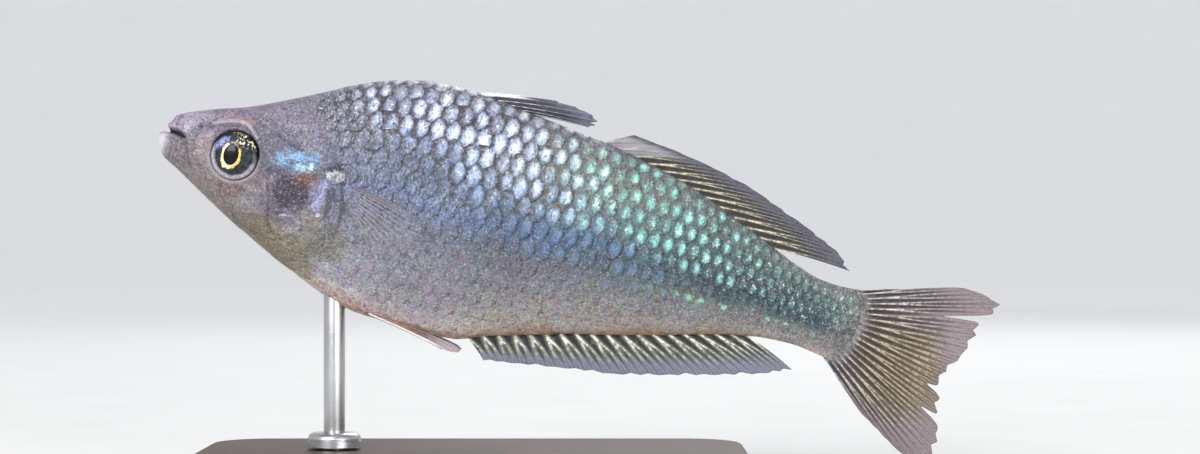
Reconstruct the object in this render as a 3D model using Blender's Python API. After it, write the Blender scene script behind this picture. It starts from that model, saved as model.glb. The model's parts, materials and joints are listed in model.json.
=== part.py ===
"""Australian rainbowfish, life size, held nose up by a plain display stand.

The fish is modelled level in its own axes, in millimetres: X runs from the snout to the tail,
Y is sideways, negative on the fish's left, and Z is up. An empty at the snout then pitches it.
"""

import math

import bmesh
import bpy
from mathutils import Vector

MM = 0.001

# Driving dimensions, in millimetres and degrees
PITCH = 15.0
SNOUT_X = -46.74
TAIL_CLEARANCE = 3.0
GAP = 0.3
FIN_THICKNESS = 0.5
RAY_THICKNESS = 0.84
EDGE_THICKNESS = 0.3
RIDGE_SHARE = 0.24

# The outline from the side, as height over the line from snout to tail base
BACK = (
    (-0.5, 2.0), (1.5, 3.3), (5, 4.7), (8.5, 5.9), (13.5, 8.3), (19, 11.3), (24, 13.2), (29, 14.1),
    (36, 13.8), (43, 13.0), (50, 12.1), (55, 11.1), (60.5, 9.5), (66.5, 7.1), (72, 4.9), (76, 3.8),
    (84, 3.9),
)
BELLY = (
    (-0.5, -1.4), (1, -2.3), (2.2, -2.9), (4.7, -4.3), (8.1, -6.2), (11.6, -8.0), (15.6, -9.8),
    (19, -11.3), (23, -12.8), (26, -13.4), (30, -13.5), (34, -13.6), (37.5, -13.4), (41, -12.2),
    (48, -10.1), (55, -8.3), (62, -6.4), (67, -5.0), (70.7, -4.4), (74.5, -4.25), (78, -4.7), (84, -5.4),
)
HALF_WIDTH = (
    (-0.5, 1.7), (1, 2.1), (3, 2.7), (5.5, 3.4), (8.5, 4.1), (12, 4.8), (16, 5.35), (20, 5.7),
    (25, 5.9), (32, 5.85), (40, 5.4), (48, 4.7), (56, 3.9), (64, 3.0), (70, 2.3), (75, 1.8), (80, 1.0),
    (84, 0.5),
)
WIDEST_LEVEL = (
    (-0.5, -0.1), (3, 0.2), (8.5, 0.0), (20, -0.6), (32, 0.0), (45, 0.6), (60, 1.0), (72, 0.2), (84, -0.6),
)
# Cross-section corners: 2 is an ellipse, more is boxy
BACK_FULLNESS = ((-0.5, 2.5), (8.5, 2.7), (16, 2.2), (30, 2.0), (84, 2.0))
BELLY_FULLNESS = ((-0.5, 2.3), (8.5, 1.95), (16, 1.85), (25, 2.0), (42, 1.8), (70, 1.9), (84, 2.0))
SNOUT_START = -0.5
SNOUT_ROUNDING = 1.3
FORM_END = 83.0

# Where the body is parted
GILL_EDGE = (
    (17.6, 17), (17.8, 10), (18.4, 6), (19.6, 3), (20.9, 0.7), (21.8, -1.4), (22.1, -4.2),
    (21.2, -7.2), (18.7, -9.5), (15.8, -11.0), (12.5, -16),
)
STEM_START = 69.4
TAIL_ARC_CENTRE = (75.4, 0.1)
TAIL_ARC_RADIUS = 6.35
TAIL_ARC_SPAN = (33.0, -56.0)
MOUTH_LINE = ((0.4, 1.0), (1.3, 1.02), (2.6, 0.6))
MOUTH_OPENING = 0.1
UPPER_JAW_FRONT = ((0.5, 3.5), (0.1, 2.8), (0.0, 2.3), (0.12, 1.65))
THROAT_POINT = (7.0, -9.0)

GILL_COVER_LIFT = 0.4
GILL_COVER_CENTRE = (17.0, -3.0)
GILL_COVER_RADII = (7.2, 8.5)

EYE_CENTRE = (8.7, 0.2)
EYE_RADIUS = 2.7
CORNEA_DOME = 0.95
EYE_DEPTH = 2.2
EYE_YAW = 10.0
EYE_SINK = 0.25
ORBIT_RIM = 0.32
NOSTRILS = ((4.1, 2.3, 0.22), (5.1, 2.8, 0.3))
NOSTRIL_DEPTH = 0.6
LIP_RADIUS = 0.4
LIP_OFFSET = 0.52
UPPER_LIP_FRONT = 0.45
LOWER_LIP_FRONT = -0.1

# Stand
BASE_SIZE = (62.0, 34.0, 5.0)
BASE_X = -12.0
BASE_CORNER = 7.0
BASE_BEVEL = 0.8
ROD_RADIUS = 1.2
ROD_STATION = 23.3
ROD_IN_FISH = 4.0
ROD_IN_BASE = 3.0
COLLAR_RADIUS = 3.0
COLLAR_HEIGHT = 1.6

LEFT, RIGHT = -1, 1


def mix(a, b, share):
    return a + (b - a) * share


def smooth(points, x):
    """The height at x of a smooth curve through the points, straight beyond its ends."""
    def slope(i):
        low, high = max(i - 1, 0), min(i + 1, len(points) - 1)
        return (points[high][1] - points[low][1]) / (points[high][0] - points[low][0])

    last = len(points) - 2
    i = 0
    while i < last and x > points[i + 1][0]:
        i += 1
    (x0, y0), (x1, y1) = points[i], points[i + 1]
    span = x1 - x0
    t = (x - x0) / span
    if t < 0 or t > 1:
        edge = 0 if t < 0 else i + 1
        return points[edge][1] + slope(edge) * (x - points[edge][0])
    ease = t * t * (3 - 2 * t)
    return (
        mix(y0, y1, ease)
        + span * slope(i) * t * (1 - t) ** 2
        - span * slope(i + 1) * t * t * (1 - t)
    )


def smooth_path(points, share):
    """A point at share 0 to 1 of a smooth path through the points, counted point by point."""
    steps = range(len(points))
    along = share * (len(points) - 1)
    return tuple(smooth([(i, points[i][axis]) for i in steps], along) for axis in (0, 1))


def bump(distance):
    """1 at distance 0, falling smoothly to 0 at distance 1."""
    return (1 - min(abs(distance), 1) ** 2) ** 2


def section(station, grow=0.0):
    """The body's cross-section: widest level, heights above and below it, half width, fullness."""
    level = smooth(WIDEST_LEVEL, station)
    reach = min((station + grow - SNOUT_START) / SNOUT_ROUNDING, 1)
    rounding = math.sqrt(max(1 - (1 - reach) ** 2, 0))
    up = (smooth(BACK, station) - level) * rounding + grow
    down = (level - smooth(BELLY, station)) * rounding + grow
    wide = smooth(HALF_WIDTH, station) * rounding + grow
    return level, up, down, wide, smooth(BACK_FULLNESS, station), smooth(BELLY_FULLNESS, station)


def half_width(station, height):
    """The body's half width at a station and height."""
    level, up, down, wide, full_up, full_down = section(station)
    above = height > level
    full = full_up if above else full_down
    part = abs(height - level) / (up if above else down)
    return wide * max(1 - part**full, 0) ** (1 / full)


def belly_height(station, side):
    """The height of the underside at a station and a distance from the middle."""
    level, _, down, wide, _, full = section(station)
    return level - down * (1 - (abs(side) / wide) ** full) ** (1 / full)


def gill_cover_lift(station, height):
    across = (station - GILL_COVER_CENTRE[0]) / GILL_COVER_RADII[0]
    upward = (height - GILL_COVER_CENTRE[1]) / GILL_COVER_RADII[1]
    return GILL_COVER_LIFT * min(2.2 * bump(math.hypot(across, upward)), 1)


def mesh_object(name, points, faces):
    """A mesh object from points in millimetres, with its faces turned outwards."""
    mesh = bpy.data.meshes.new(name)
    mesh.from_pydata([[c * MM for c in p] for p in points], [], faces)
    made = bmesh.new()
    made.from_mesh(mesh)
    bmesh.ops.recalc_face_normals(made, faces=made.faces)
    made.to_mesh(mesh)
    made.free()
    thing = bpy.data.objects.new(name, mesh)
    bpy.context.scene.collection.objects.link(thing)
    return thing


def lofted(name, rings, closed_path=False):
    """A closed skin over rings of points, with flat ends unless the path is closed."""
    around = len(rings[0])
    points = [p for ring in rings for p in ring]
    faces = []
    last = len(rings) if closed_path else len(rings) - 1
    for r in range(last):
        here, after = r * around, (r + 1) % len(rings) * around
        for c in range(around):
            n = (c + 1) % around
            faces.append((here + c, here + n, after + n, after + c))
    if not closed_path:
        faces.append(tuple(range(around)))
        faces.append(tuple(range(len(points) - around, len(points))))
    return mesh_object(name, points, faces)


def tube(name, path, radius, sides, closed_path=False, taper=None):
    """A round tube along a path of points."""
    rings = []
    count = len(path)
    for i, point in enumerate(path):
        before = path[(i - 1) % count] if closed_path else path[max(i - 1, 0)]
        after = path[(i + 1) % count] if closed_path else path[min(i + 1, count - 1)]
        along = (Vector(after) - Vector(before)).normalized()
        side = along.cross(Vector((0.31, 0.17, 0.93))).normalized()
        up = side.cross(along)
        size = radius * (taper(i / (count - 1)) if taper else 1)
        rings.append([
            Vector(point)
            + side * size * math.cos(math.tau * k / sides)
            + up * size * math.sin(math.tau * k / sides)
            for k in range(sides)
        ])
    return lofted(name, rings, closed_path)


def prism(name, outline, half_depth=20.0):
    """A closed outline, given as (X, Z), drawn through the fish from side to side."""
    count = len(outline)
    points = [(x, -half_depth, z) for x, z in outline] + [(x, half_depth, z) for x, z in outline]
    faces = [tuple(range(count)), tuple(range(2 * count - 1, count - 1, -1))]
    for i in range(count):
        n = (i + 1) % count
        faces.append((i, n, n + count, i + count))
    return mesh_object(name, points, faces)


def offset_path(path, distance):
    """The path moved sideways, to its right as it runs, in the XZ plane."""
    moved = []
    for i, point in enumerate(path):
        before, after = path[max(i - 1, 0)], path[min(i + 1, len(path) - 1)]
        run = Vector((after[0] - before[0], after[1] - before[1])).normalized()
        moved.append((point[0] + run.y * distance, point[1] - run.x * distance))
    return moved


def apply_boolean(thing, operation, other=None, collection=None, solver="EXACT"):
    modifier = thing.modifiers.new("shape", "BOOLEAN")
    modifier.operation = operation
    modifier.solver = solver
    if collection is None:
        modifier.object = other
    else:
        modifier.operand_type = "COLLECTION"
        modifier.collection = collection
    with bpy.context.temp_override(object=thing, active_object=thing):
        bpy.ops.object.modifier_apply(modifier=modifier.name)


def discard(*things):
    for thing in things:
        bpy.data.objects.remove(thing)


def join_pieces(thing, pieces):
    """Fuses closed pieces into a node by one Boolean union."""
    group = bpy.data.collections.new(thing.name + "_pieces")
    for piece in pieces:
        group.objects.link(piece)
    apply_boolean(thing, "UNION", collection=group)
    discard(*pieces)
    bpy.data.collections.remove(group)


def shape_by(thing, operation, cutter):
    apply_boolean(thing, operation, other=cutter)
    discard(cutter)


def keep_largest_surface(thing):
    """Drops the loose scraps and sealed hollows that cutting can leave."""
    form = bmesh.new()
    form.from_mesh(thing.data)
    bmesh.ops.remove_doubles(form, verts=form.verts, dist=2e-6)
    bmesh.ops.triangulate(form, faces=form.faces)
    unseen = set(form.faces)
    largest, most = [], 0.0
    while unseen:
        found, edge = [], [unseen.pop()]
        while edge:
            face = edge.pop()
            found.append(face)
            near = {f for e in face.edges for f in e.link_faces} & unseen
            unseen -= near
            edge.extend(near)
        volume = sum(f.calc_center_median().dot(f.normal) * f.calc_area() for f in found) / 3
        if volume > most:
            largest, most = found, volume
    kept = set(largest)
    bmesh.ops.delete(form, geom=[f for f in form.faces if f not in kept], context="FACES")
    form.to_mesh(thing.data)
    form.free()


def material(name, colour, roughness, metallic=0.0):
    made = bpy.data.materials.new(name)
    made.use_nodes = True
    shader = made.node_tree.nodes["Principled BSDF"]
    shader.inputs["Base Color"].default_value = (*colour, 1)
    shader.inputs["Roughness"].default_value = roughness
    shader.inputs["Metallic"].default_value = metallic
    return made


def finish_node(thing, finish, parent=None, smooth_angle=40.0):
    thing.data.materials.clear()
    thing.data.materials.append(finish)
    thing.data.shade_smooth()
    thing.data.set_sharp_from_angle(angle=math.radians(smooth_angle))
    thing.parent = parent
    return thing


def body_form(name, stations, around, grow=0.0, gill_cover=False):
    """The whole body as one closed form over the stations, from the snout to past the tail base."""
    rings = []
    for station in stations:
        level, up, down, wide, full_up, full_down = section(station, grow)
        ring = []
        for k in range(around):
            turn = math.tau * (k + 0.5) / around
            across, upward = math.sin(turn), math.cos(turn)
            full, reach = (full_up, up) if upward > 0 else (full_down, down)
            height = level + math.copysign(abs(upward) ** (2 / full), upward) * reach
            side = math.copysign(abs(across) ** (2 / full), across) * wide
            if gill_cover:
                side += math.copysign(gill_cover_lift(station, height), side) * abs(across) ** 0.5
            ring.append((station, side, height))
        rings.append(ring)
    return lofted(name, rings)


def spaced(start, end, count, crowding=1.0):
    """Stations from start to end, crowded towards the start."""
    return [mix(start, end, (i / count) ** crowding) for i in range(count + 1)]


def head_form(name, grow=0.0):
    stations = spaced(SNOUT_START - grow + 0.03, 3.0, 6, 1.7) + spaced(3.8, 24.6, 20)
    return body_form(name, stations, 36, grow, gill_cover=True)


def trunk_form(name, grow=0.0):
    return body_form(name, spaced(10.0, FORM_END, 42), 32, grow)


def curve_points(points, count):
    return [smooth_path(points, i / count) for i in range(count + 1)]


def mouth_corner_line(offset):
    """The mouth line, then the line from the mouth's corner to the throat, moved by an offset."""
    mouth = curve_points(MOUTH_LINE, 6)
    widened = [
        (x, z + math.copysign(MOUTH_OPENING * (1 - i / 6), -offset))
        for i, (x, z) in enumerate(mouth)
    ]
    return offset_path(widened + [THROAT_POINT], offset)


def surface_point(x, z, out):
    """A point on the head's right side, out from the skin by a distance."""
    return (x, half_width(x, z) + gill_cover_lift(x, z) + out, z)


def turned(name, profile, sides):
    """A closed form turned round the Y axis, from (radius, Y) pairs that start and end on it."""
    rings = [
        [(r * math.cos(a), y, r * math.sin(a)) for a in (math.tau * k / sides for k in range(sides))]
        for r, y in profile[1:-1]
    ]
    points = [p for ring in rings for p in ring] + [(0, profile[0][1], 0), (0, profile[-1][1], 0)]
    faces = []
    for r in range(len(rings) - 1):
        for k in range(sides):
            n = (k + 1) % sides
            faces.append((r * sides + k, r * sides + n, (r + 1) * sides + n, (r + 1) * sides + k))
    start, end, last = len(points) - 2, len(points) - 1, (len(rings) - 1) * sides
    for k in range(sides):
        n = (k + 1) % sides
        faces.append((k, start, n))
        faces.append((last + k, last + n, end))
    return mesh_object(name, points, faces)


def eyeball(name, side, grow=0.0):
    """An eye: a deep back, and a low clear dome with a step where the iris ends."""
    radius = EYE_RADIUS + grow
    back = [
        (radius * math.sin(a), -(EYE_DEPTH + grow) * math.cos(a))
        for a in (math.pi / 2 * i / 5 for i in range(6))
    ]
    front = [
        (radius * math.cos(a), (CORNEA_DOME + grow) * math.sin(a))
        for a in (math.pi / 2 * i / 5 for i in range(1, 6))
    ]
    ball = turned(name, back + front, 24)
    centre_y = half_width(*EYE_CENTRE) - EYE_SINK
    for vertex in ball.data.vertices:
        x, y, z = vertex.co
        yaw = math.radians(EYE_YAW)
        x, y = x * math.cos(yaw) - y * math.sin(yaw), x * math.sin(yaw) + y * math.cos(yaw)
        vertex.co = (x + EYE_CENTRE[0] * MM, side * (y + centre_y * MM), z + EYE_CENTRE[1] * MM)
    if side == LEFT:
        ball.data.flip_normals()
    return ball


def orbit_rim(side):
    """The raised fold of skin round an eye, laid on the head's surface."""
    reach = EYE_RADIUS + GAP + ORBIT_RIM * 0.7
    path = []
    for i in range(24):
        turn = math.tau * i / 24
        x, y, z = surface_point(
            EYE_CENTRE[0] + reach * math.cos(turn), EYE_CENTRE[1] + reach * math.sin(turn), -0.05
        )
        path.append((x, side * y, z))
    return tube(f"orbit_rim_{side}", path, ORBIT_RIM, 6, closed_path=True)


def lip(name, rise, front_x):
    """A lip round the front of the mouth, from corner to corner, just over or under its line."""
    corner_x = MOUTH_LINE[-1][0]
    path = []
    for i in range(17):
        t = i / 8 - 1
        x = mix(front_x, corner_x, t * t)
        z = smooth(MOUTH_LINE, x) + rise * (1 - 0.55 * t * t)
        path.append((x, math.copysign(max(half_width(x, z) - 0.1, 0), t) if t else 0, z))
    path[8] = (front_x - 0.1, 0, path[8][2])
    return tube(name, path, LIP_RADIUS, 7, taper=lambda share: 1 - 0.5 * (2 * share - 1) ** 4)


def nostril(side, x, z, radius):
    """A tapered cutter that sinks a nostril into the skin."""
    surface = surface_point(x, z, 0)
    out = surface[1] + 0.5
    inner = surface[1] - NOSTRIL_DEPTH
    rings = [
        [
            (x + size * math.cos(math.tau * k / 8), side * y, z + size * math.sin(math.tau * k / 8))
            for k in range(8)
        ]
        for y, size in ((out, radius * 1.3), (inner, radius * 0.7))
    ]
    return lofted(f"nostril_{side}", rings)


def make_head(finish, parent):
    head = head_form("head")
    join_pieces(head, [orbit_rim(LEFT), orbit_rim(RIGHT), lip("upper_lip", LIP_OFFSET, UPPER_LIP_FRONT)])
    gill = offset_path(curve_points(GILL_EDGE, 22), GAP / 2)
    outline = mouth_corner_line(-GAP / 2) + [(THROAT_POINT[0], -18), (gill[-1][0], -18)]
    outline += gill[::-1] + [(gill[0][0], 22), (UPPER_JAW_FRONT[0][0], 22), *UPPER_JAW_FRONT]
    shape_by(head, "INTERSECT", prism("head_region", outline))
    for side in (LEFT, RIGHT):
        shape_by(head, "DIFFERENCE", eyeball("socket", side, GAP))
        for x, z, radius in NOSTRILS:
            shape_by(head, "DIFFERENCE", nostril(side, x, z, radius))
    keep_largest_surface(head)
    finish_node(head, finish, parent)


def make_lower_jaw(finish, parent):
    jaw = head_form("lower_jaw")
    join_pieces(jaw, [lip("lower_lip", -LIP_OFFSET, LOWER_LIP_FRONT)])
    edge = mouth_corner_line(GAP / 2)
    outline = edge + [(edge[-1][0], -18), (-6, -18), (-6, edge[0][1])]
    shape_by(jaw, "INTERSECT", prism("jaw_region", outline))
    keep_largest_surface(jaw)
    finish_node(jaw, finish, parent)


def tail_arc(offset, count=10):
    """Points down the curved end of the fleshy tail stem, top to bottom, moved back by an offset."""
    radius = TAIL_ARC_RADIUS + offset
    return [
        (
            TAIL_ARC_CENTRE[0] + radius * math.cos(math.radians(a)),
            TAIL_ARC_CENTRE[1] + radius * math.sin(math.radians(a)),
        )
        for a in (mix(*TAIL_ARC_SPAN, i / count) for i in range(count + 1))
    ]


def rod_x():
    return (
        SNOUT_X
        + ROD_STATION * math.cos(math.radians(PITCH))
        + smooth(BELLY, ROD_STATION) * math.sin(math.radians(PITCH))
    )


def level_height(station, height):
    """Height over the floor of a point of the pitched fish."""
    pitch = math.radians(PITCH)
    return snout_z() - station * math.sin(pitch) + height * math.cos(pitch)


def snout_z():
    """The snout's height over the floor, which lets the lowest tail tip clear it."""
    pitch = math.radians(PITCH)
    lowest = min(-x * math.sin(pitch) + z * math.cos(pitch) for x, z in TAIL_TIPS)
    return TAIL_CLEARANCE - lowest


def upright_cylinder(name, x, radius, low, high, sides=24):
    turns = [math.tau * k / sides for k in range(sides)]
    rings = [[(x + radius * math.cos(a), radius * math.sin(a), z) for a in turns] for z in (low, high)]
    return lofted(name, rings)


def make_trunk(finish, parent):
    trunk = trunk_form("trunk")
    gill = offset_path(curve_points(GILL_EDGE, 22), -GAP / 2)
    end = STEM_START - GAP / 2
    outline = gill + [(end, gill[-1][1]), (end, 22), (gill[0][0], 22)]
    shape_by(trunk, "INTERSECT", prism("trunk_region", outline))
    finish_node(trunk, finish, parent)
    bpy.context.view_layer.update()
    top = level_height(ROD_STATION, smooth(BELLY, ROD_STATION)) + ROD_IN_FISH
    shape_by(trunk, "DIFFERENCE", upright_cylinder("rod_socket", rod_x(), ROD_RADIUS + GAP, 0, top + GAP))
    keep_largest_surface(trunk)
    finish_node(trunk, finish, parent)


def make_tail_stem(finish, parent):
    stem = trunk_form("tail_stem")
    start = STEM_START + GAP / 2
    arc = tail_arc(-GAP)
    outline = [(start, 22), (arc[0][0], 22)] + arc + [(arc[-1][0], -22), (start, -22)]
    shape_by(stem, "INTERSECT", prism("stem_region", outline))
    keep_largest_surface(stem)
    finish_node(stem, finish, parent)


def fin(name, rays, rows, base, tip, centre, bow=0.0, notches=(), root_thickness=RAY_THICKNESS):
    """A fin: a thin membrane raised into a ridge along each ray, alike on both faces.

    base and tip give the (X, Z) of a ray's ends at a share 0 to 1 across the fin, centre gives the
    Y of the membrane's middle, bow bends the rays back, and notches maps a gap between two rays to
    the share of their length by which the edge is slit there.
    """
    slit = dict(notches)
    columns = []
    for i in range(rays):
        for step in (-RIDGE_SHARE, 0, RIDGE_SHARE):
            if 0 <= i + step <= rays - 1:
                columns.append((i + step, step == 0))
        if i in slit:
            columns.append((i + 0.5, False))
    points, faces = [], []
    for place, on_ray in columns:
        u = place / (rays - 1)
        between = place - math.floor(place)
        depth = slit.get(math.floor(place), 0) if between == 0.5 else 0
        for r in range(rows + 1):
            v = r / rows * (1 - depth)
            (x0, z0), (x1, z1) = base(u), tip(u)
            lean = bow * v * (1 - v) * math.hypot(x1 - x0, z1 - z0)
            run = Vector((x1 - x0, z1 - z0)).normalized()
            x, z = mix(x0, x1, v) - run.y * lean, mix(z0, z1, v) + run.x * lean
            root = root_thickness if on_ray else FIN_THICKNESS
            end = EDGE_THICKNESS * (1.25 if on_ray else 1)
            half = mix(root, end, v) / 2
            y = centre(x, z, u, v)
            points.append((x, y - half, z))
            points.append((x, y + half, z))
    step = rows + 1

    def corner(c, r, face):
        return 2 * (c * step + r) + face

    def wall(a, b, c, d):
        faces.extend(((a, b, c), (a, c, d)))

    for c in range(len(columns) - 1):
        for r in range(rows):
            low, high = (c, r), (c, r + 1)
            beyond, far = (c + 1, r + 1), (c + 1, r)
            for face in (0, 1):
                wall(corner(*low, face), corner(*high, face), corner(*beyond, face), corner(*far, face))
        for r in (0, rows):
            wall(corner(c, r, 0), corner(c, r, 1), corner(c + 1, r, 1), corner(c + 1, r, 0))
    for c in (0, len(columns) - 1):
        for r in range(rows):
            wall(corner(c, r, 0), corner(c, r, 1), corner(c, r + 1, 1), corner(c, r + 1, 0))
    return mesh_object(name, points, faces)


# Each median fin: the stations of its first and last ray, and where the ray tips lie
SPINY_DORSAL = ((31.2, 38.6), ((41.5, 15.45), (44.3, 15.3), (46.4, 14.7), (46.6, 14.0), (45.8, 13.55)))
SOFT_DORSAL = (
    (47.6, 69.0),
    ((51.0, 14.0), (54.6, 13.7), (58.0, 13.2), (61.4, 12.6), (64.8, 11.8), (68.0, 10.7), (71.2, 9.5),
     (74.2, 8.3), (76.7, 7.1), (78.4, 5.5)),
)
ANAL = (
    (38.6, 68.5),
    ((41.2, -14.85), (45.3, -14.2), (50.7, -13.3), (56.1, -12.5), (61.3, -11.2), (66.5, -9.8),
     (71.6, -8.3), (75.0, -6.9)),
)
# The tips of the tail's rays, from the top of the upper lobe to the bottom of the lower
TAIL_TIPS = (
    (86.0, 5.15), (90.9, 6.9), (93.6, 6.85), (95.7, 6.25), (95.2, 5.1), (93.9, 3.4), (93.9, 2.2),
    (93.3, 0.5), (92.6, -1.1), (91.7, -2.6), (91.2, -4.1), (91.8, -5.7), (92.0, -7.3), (92.5, -8.9),
    (92.9, -10.5),
    (92.8, -12.2), (92.2, -13.6), (89.0, -12.6), (83.6, -9.4),
)
TAIL_SLITS = ((4, 0.32), (10, 0.12), (12, 0.16))
TAIL_WAVE = 0.9


def make_back_fin(name, rays, rows, size, bow, finish, parent):
    (first, last), tips = size

    def base(u):
        station = mix(first, last, u)
        return station, smooth(BACK, station) + GAP

    made = fin(name, rays, rows, base, lambda u: smooth_path(tips, u), lambda x, z, u, v: 0, bow)
    finish_node(made, finish, parent)


def make_anal_fin(finish, parent):
    (first, last), tips = ANAL

    def base(u):
        station = mix(first, last, u)
        return station, smooth(BELLY, station) - GAP

    made = fin("anal_fin", 19, 4, base, lambda u: smooth_path(tips, u), lambda x, z, u, v: 0, 0.10)
    finish_node(made, finish, parent)


def make_tail_fin(finish, parent):
    root = tail_arc(0)

    def centre(x, z, u, v):
        return TAIL_WAVE * v * v * math.sin(math.tau * (0.9 * u + 0.35 * v))

    made = fin(
        "tail_fin", len(TAIL_TIPS), 5, lambda u: smooth_path(root, u),
        lambda u: smooth_path(TAIL_TIPS, u), centre, 0.0, TAIL_SLITS, root_thickness=1.0,
    )
    finish_node(made, finish, parent)


def trim_to_body(thing):
    """Cuts a paired fin back from the trunk, so that its root meets the skin with the usual gap."""
    shape_by(thing, "DIFFERENCE", trunk_form("grown_trunk", GAP))
    keep_largest_surface(thing)


PECTORAL_BASE = ((22.0, 0.6), (22.8, -2.4))
PECTORAL_TIPS = ((30.4, -1.2), (31.2, -2.2), (31.0, -3.5), (30.0, -4.8), (28.4, -5.8), (26.6, -6.3))
PECTORAL_ROOT_SINK = 0.4
PECTORAL_STANDOFF = 1.2
PECTORAL_FLARE = 1.2


def make_pectoral_fin(side, name, finish, parent):
    """A fan laid back along the flank behind the gill cover, rooted in the skin."""
    def centre(x, z, u, v):
        rooted = PECTORAL_STANDOFF * (1 - (1 - v) ** 3) - PECTORAL_ROOT_SINK
        return side * (half_width(x, z) + rooted + PECTORAL_FLARE * v)

    def base(u):
        return tuple(mix(a, b, u) for a, b in zip(*PECTORAL_BASE))

    made = fin(name, 12, 4, base, lambda u: smooth_path(PECTORAL_TIPS, u), centre, 0.05)
    trim_to_body(made)
    finish_node(made, finish, parent)


PELVIC_ROOT = (27.0, 28.6)
PELVIC_TIPS = ((36.2, -14.75), (38.1, -14.7), (38.4, -14.25), (37.4, -14.0))
PELVIC_SIDE = 1.15
PELVIC_SPLAY = 0.55


def make_pelvic_fin(side, name, finish, parent):
    """A narrow folded blade that trails under the belly beside the middle."""
    def base(u):
        station = mix(*PELVIC_ROOT, u)
        return station, belly_height(station, PELVIC_SIDE) - 0.15 + 0.5 * u

    def centre(x, z, u, v):
        return side * (PELVIC_SIDE + PELVIC_SPLAY * v + 0.25 * (1 - u))

    made = fin(name, 4, 6, base, lambda u: smooth_path(PELVIC_TIPS, u), centre, 0.06)
    trim_to_body(made)
    finish_node(made, finish, parent)


def rounded_plate(name, size, corner, bevel):
    length, width, height = size
    outline = []
    for quarter, (sx, sy) in enumerate(((1, 1), (-1, 1), (-1, -1), (1, -1))):
        for i in range(7):
            turn = math.radians(90 * quarter + 15 * i)
            outline.append((
                sx * (length / 2 - corner) + corner * math.cos(turn),
                sy * (width / 2 - corner) + corner * math.sin(turn),
            ))
    levels = ((bevel * 0.4, 0), (0, bevel * 0.4), (0, height - bevel), (bevel, height))
    rings = [
        [(x - math.copysign(inset, x), y - math.copysign(inset, y), z) for x, y in outline]
        for inset, z in levels
    ]
    return lofted(name, rings)


def make_stand(wood, steel):
    base = rounded_plate("stand_base", BASE_SIZE, BASE_CORNER, BASE_BEVEL)
    base.location = (BASE_X * MM, 0, 0)
    bpy.context.view_layer.update()
    top = BASE_SIZE[2]
    hole_floor = top - ROD_IN_BASE - GAP
    hole = upright_cylinder("rod_hole", rod_x(), ROD_RADIUS + GAP, hole_floor, top + 5)
    shape_by(base, "DIFFERENCE", hole)
    keep_largest_surface(base)
    finish_node(base, wood)
    rod_top = level_height(ROD_STATION, smooth(BELLY, ROD_STATION)) + ROD_IN_FISH
    rod = upright_cylinder("stand_rod", rod_x(), ROD_RADIUS, top - ROD_IN_BASE, rod_top)
    finish_node(rod, steel)
    inner, outer, foot = ROD_RADIUS + GAP, COLLAR_RADIUS, top + GAP
    head = foot + COLLAR_HEIGHT
    profile = (
        (inner, foot), (outer, foot), (outer, foot + COLLAR_HEIGHT * 0.55),
        (outer * 0.8, foot + COLLAR_HEIGHT * 0.9), (outer * 0.68, head), (inner, head),
    )
    turns = [math.tau * k / 24 for k in range(24)]
    rings = [[(rod_x() + r * math.cos(a), r * math.sin(a), z) for r, z in profile] for a in turns]
    finish_node(lofted("stand_collar", rings, closed_path=True), steel)


def main():
    for thing in list(bpy.data.objects):
        bpy.data.objects.remove(thing)
    skin = material("silver_skin", (0.50, 0.52, 0.55), 0.35)
    eye = material("eye", (0.05, 0.05, 0.05), 0.1)
    membrane = material("fin_membrane", (0.42, 0.40, 0.36), 0.45)
    wood = material("dark_wood", (0.08, 0.05, 0.035), 0.5)
    steel = material("brushed_steel", (0.55, 0.55, 0.55), 0.35, 1.0)

    fish = bpy.data.objects.new("fish_axes", None)
    bpy.context.scene.collection.objects.link(fish)
    fish.location = (SNOUT_X * MM, 0, snout_z() * MM)
    fish.rotation_euler = (0, math.radians(PITCH), 0)

    make_head(skin, fish)
    make_lower_jaw(skin, fish)
    make_trunk(skin, fish)
    make_tail_stem(skin, fish)
    for side, name in ((LEFT, "left"), (RIGHT, "right")):
        finish_node(eyeball(f"eye_{name}", side), eye, fish)
        make_pectoral_fin(side, f"pectoral_fin_{name}", membrane, fish)
        make_pelvic_fin(side, f"pelvic_fin_{name}", membrane, fish)
    make_back_fin("spiny_dorsal_fin", 6, 4, SPINY_DORSAL, 0.06, membrane, fish)
    make_back_fin("soft_dorsal_fin", 13, 4, SOFT_DORSAL, 0.06, membrane, fish)
    make_anal_fin(membrane, fish)
    make_tail_fin(membrane, fish)
    make_stand(wood, steel)
    bpy.context.view_layer.update()


main()
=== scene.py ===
"""An australian rainbowfish, life size, on a plain display stand: the finished surfaces."""

import json
import math

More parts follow.
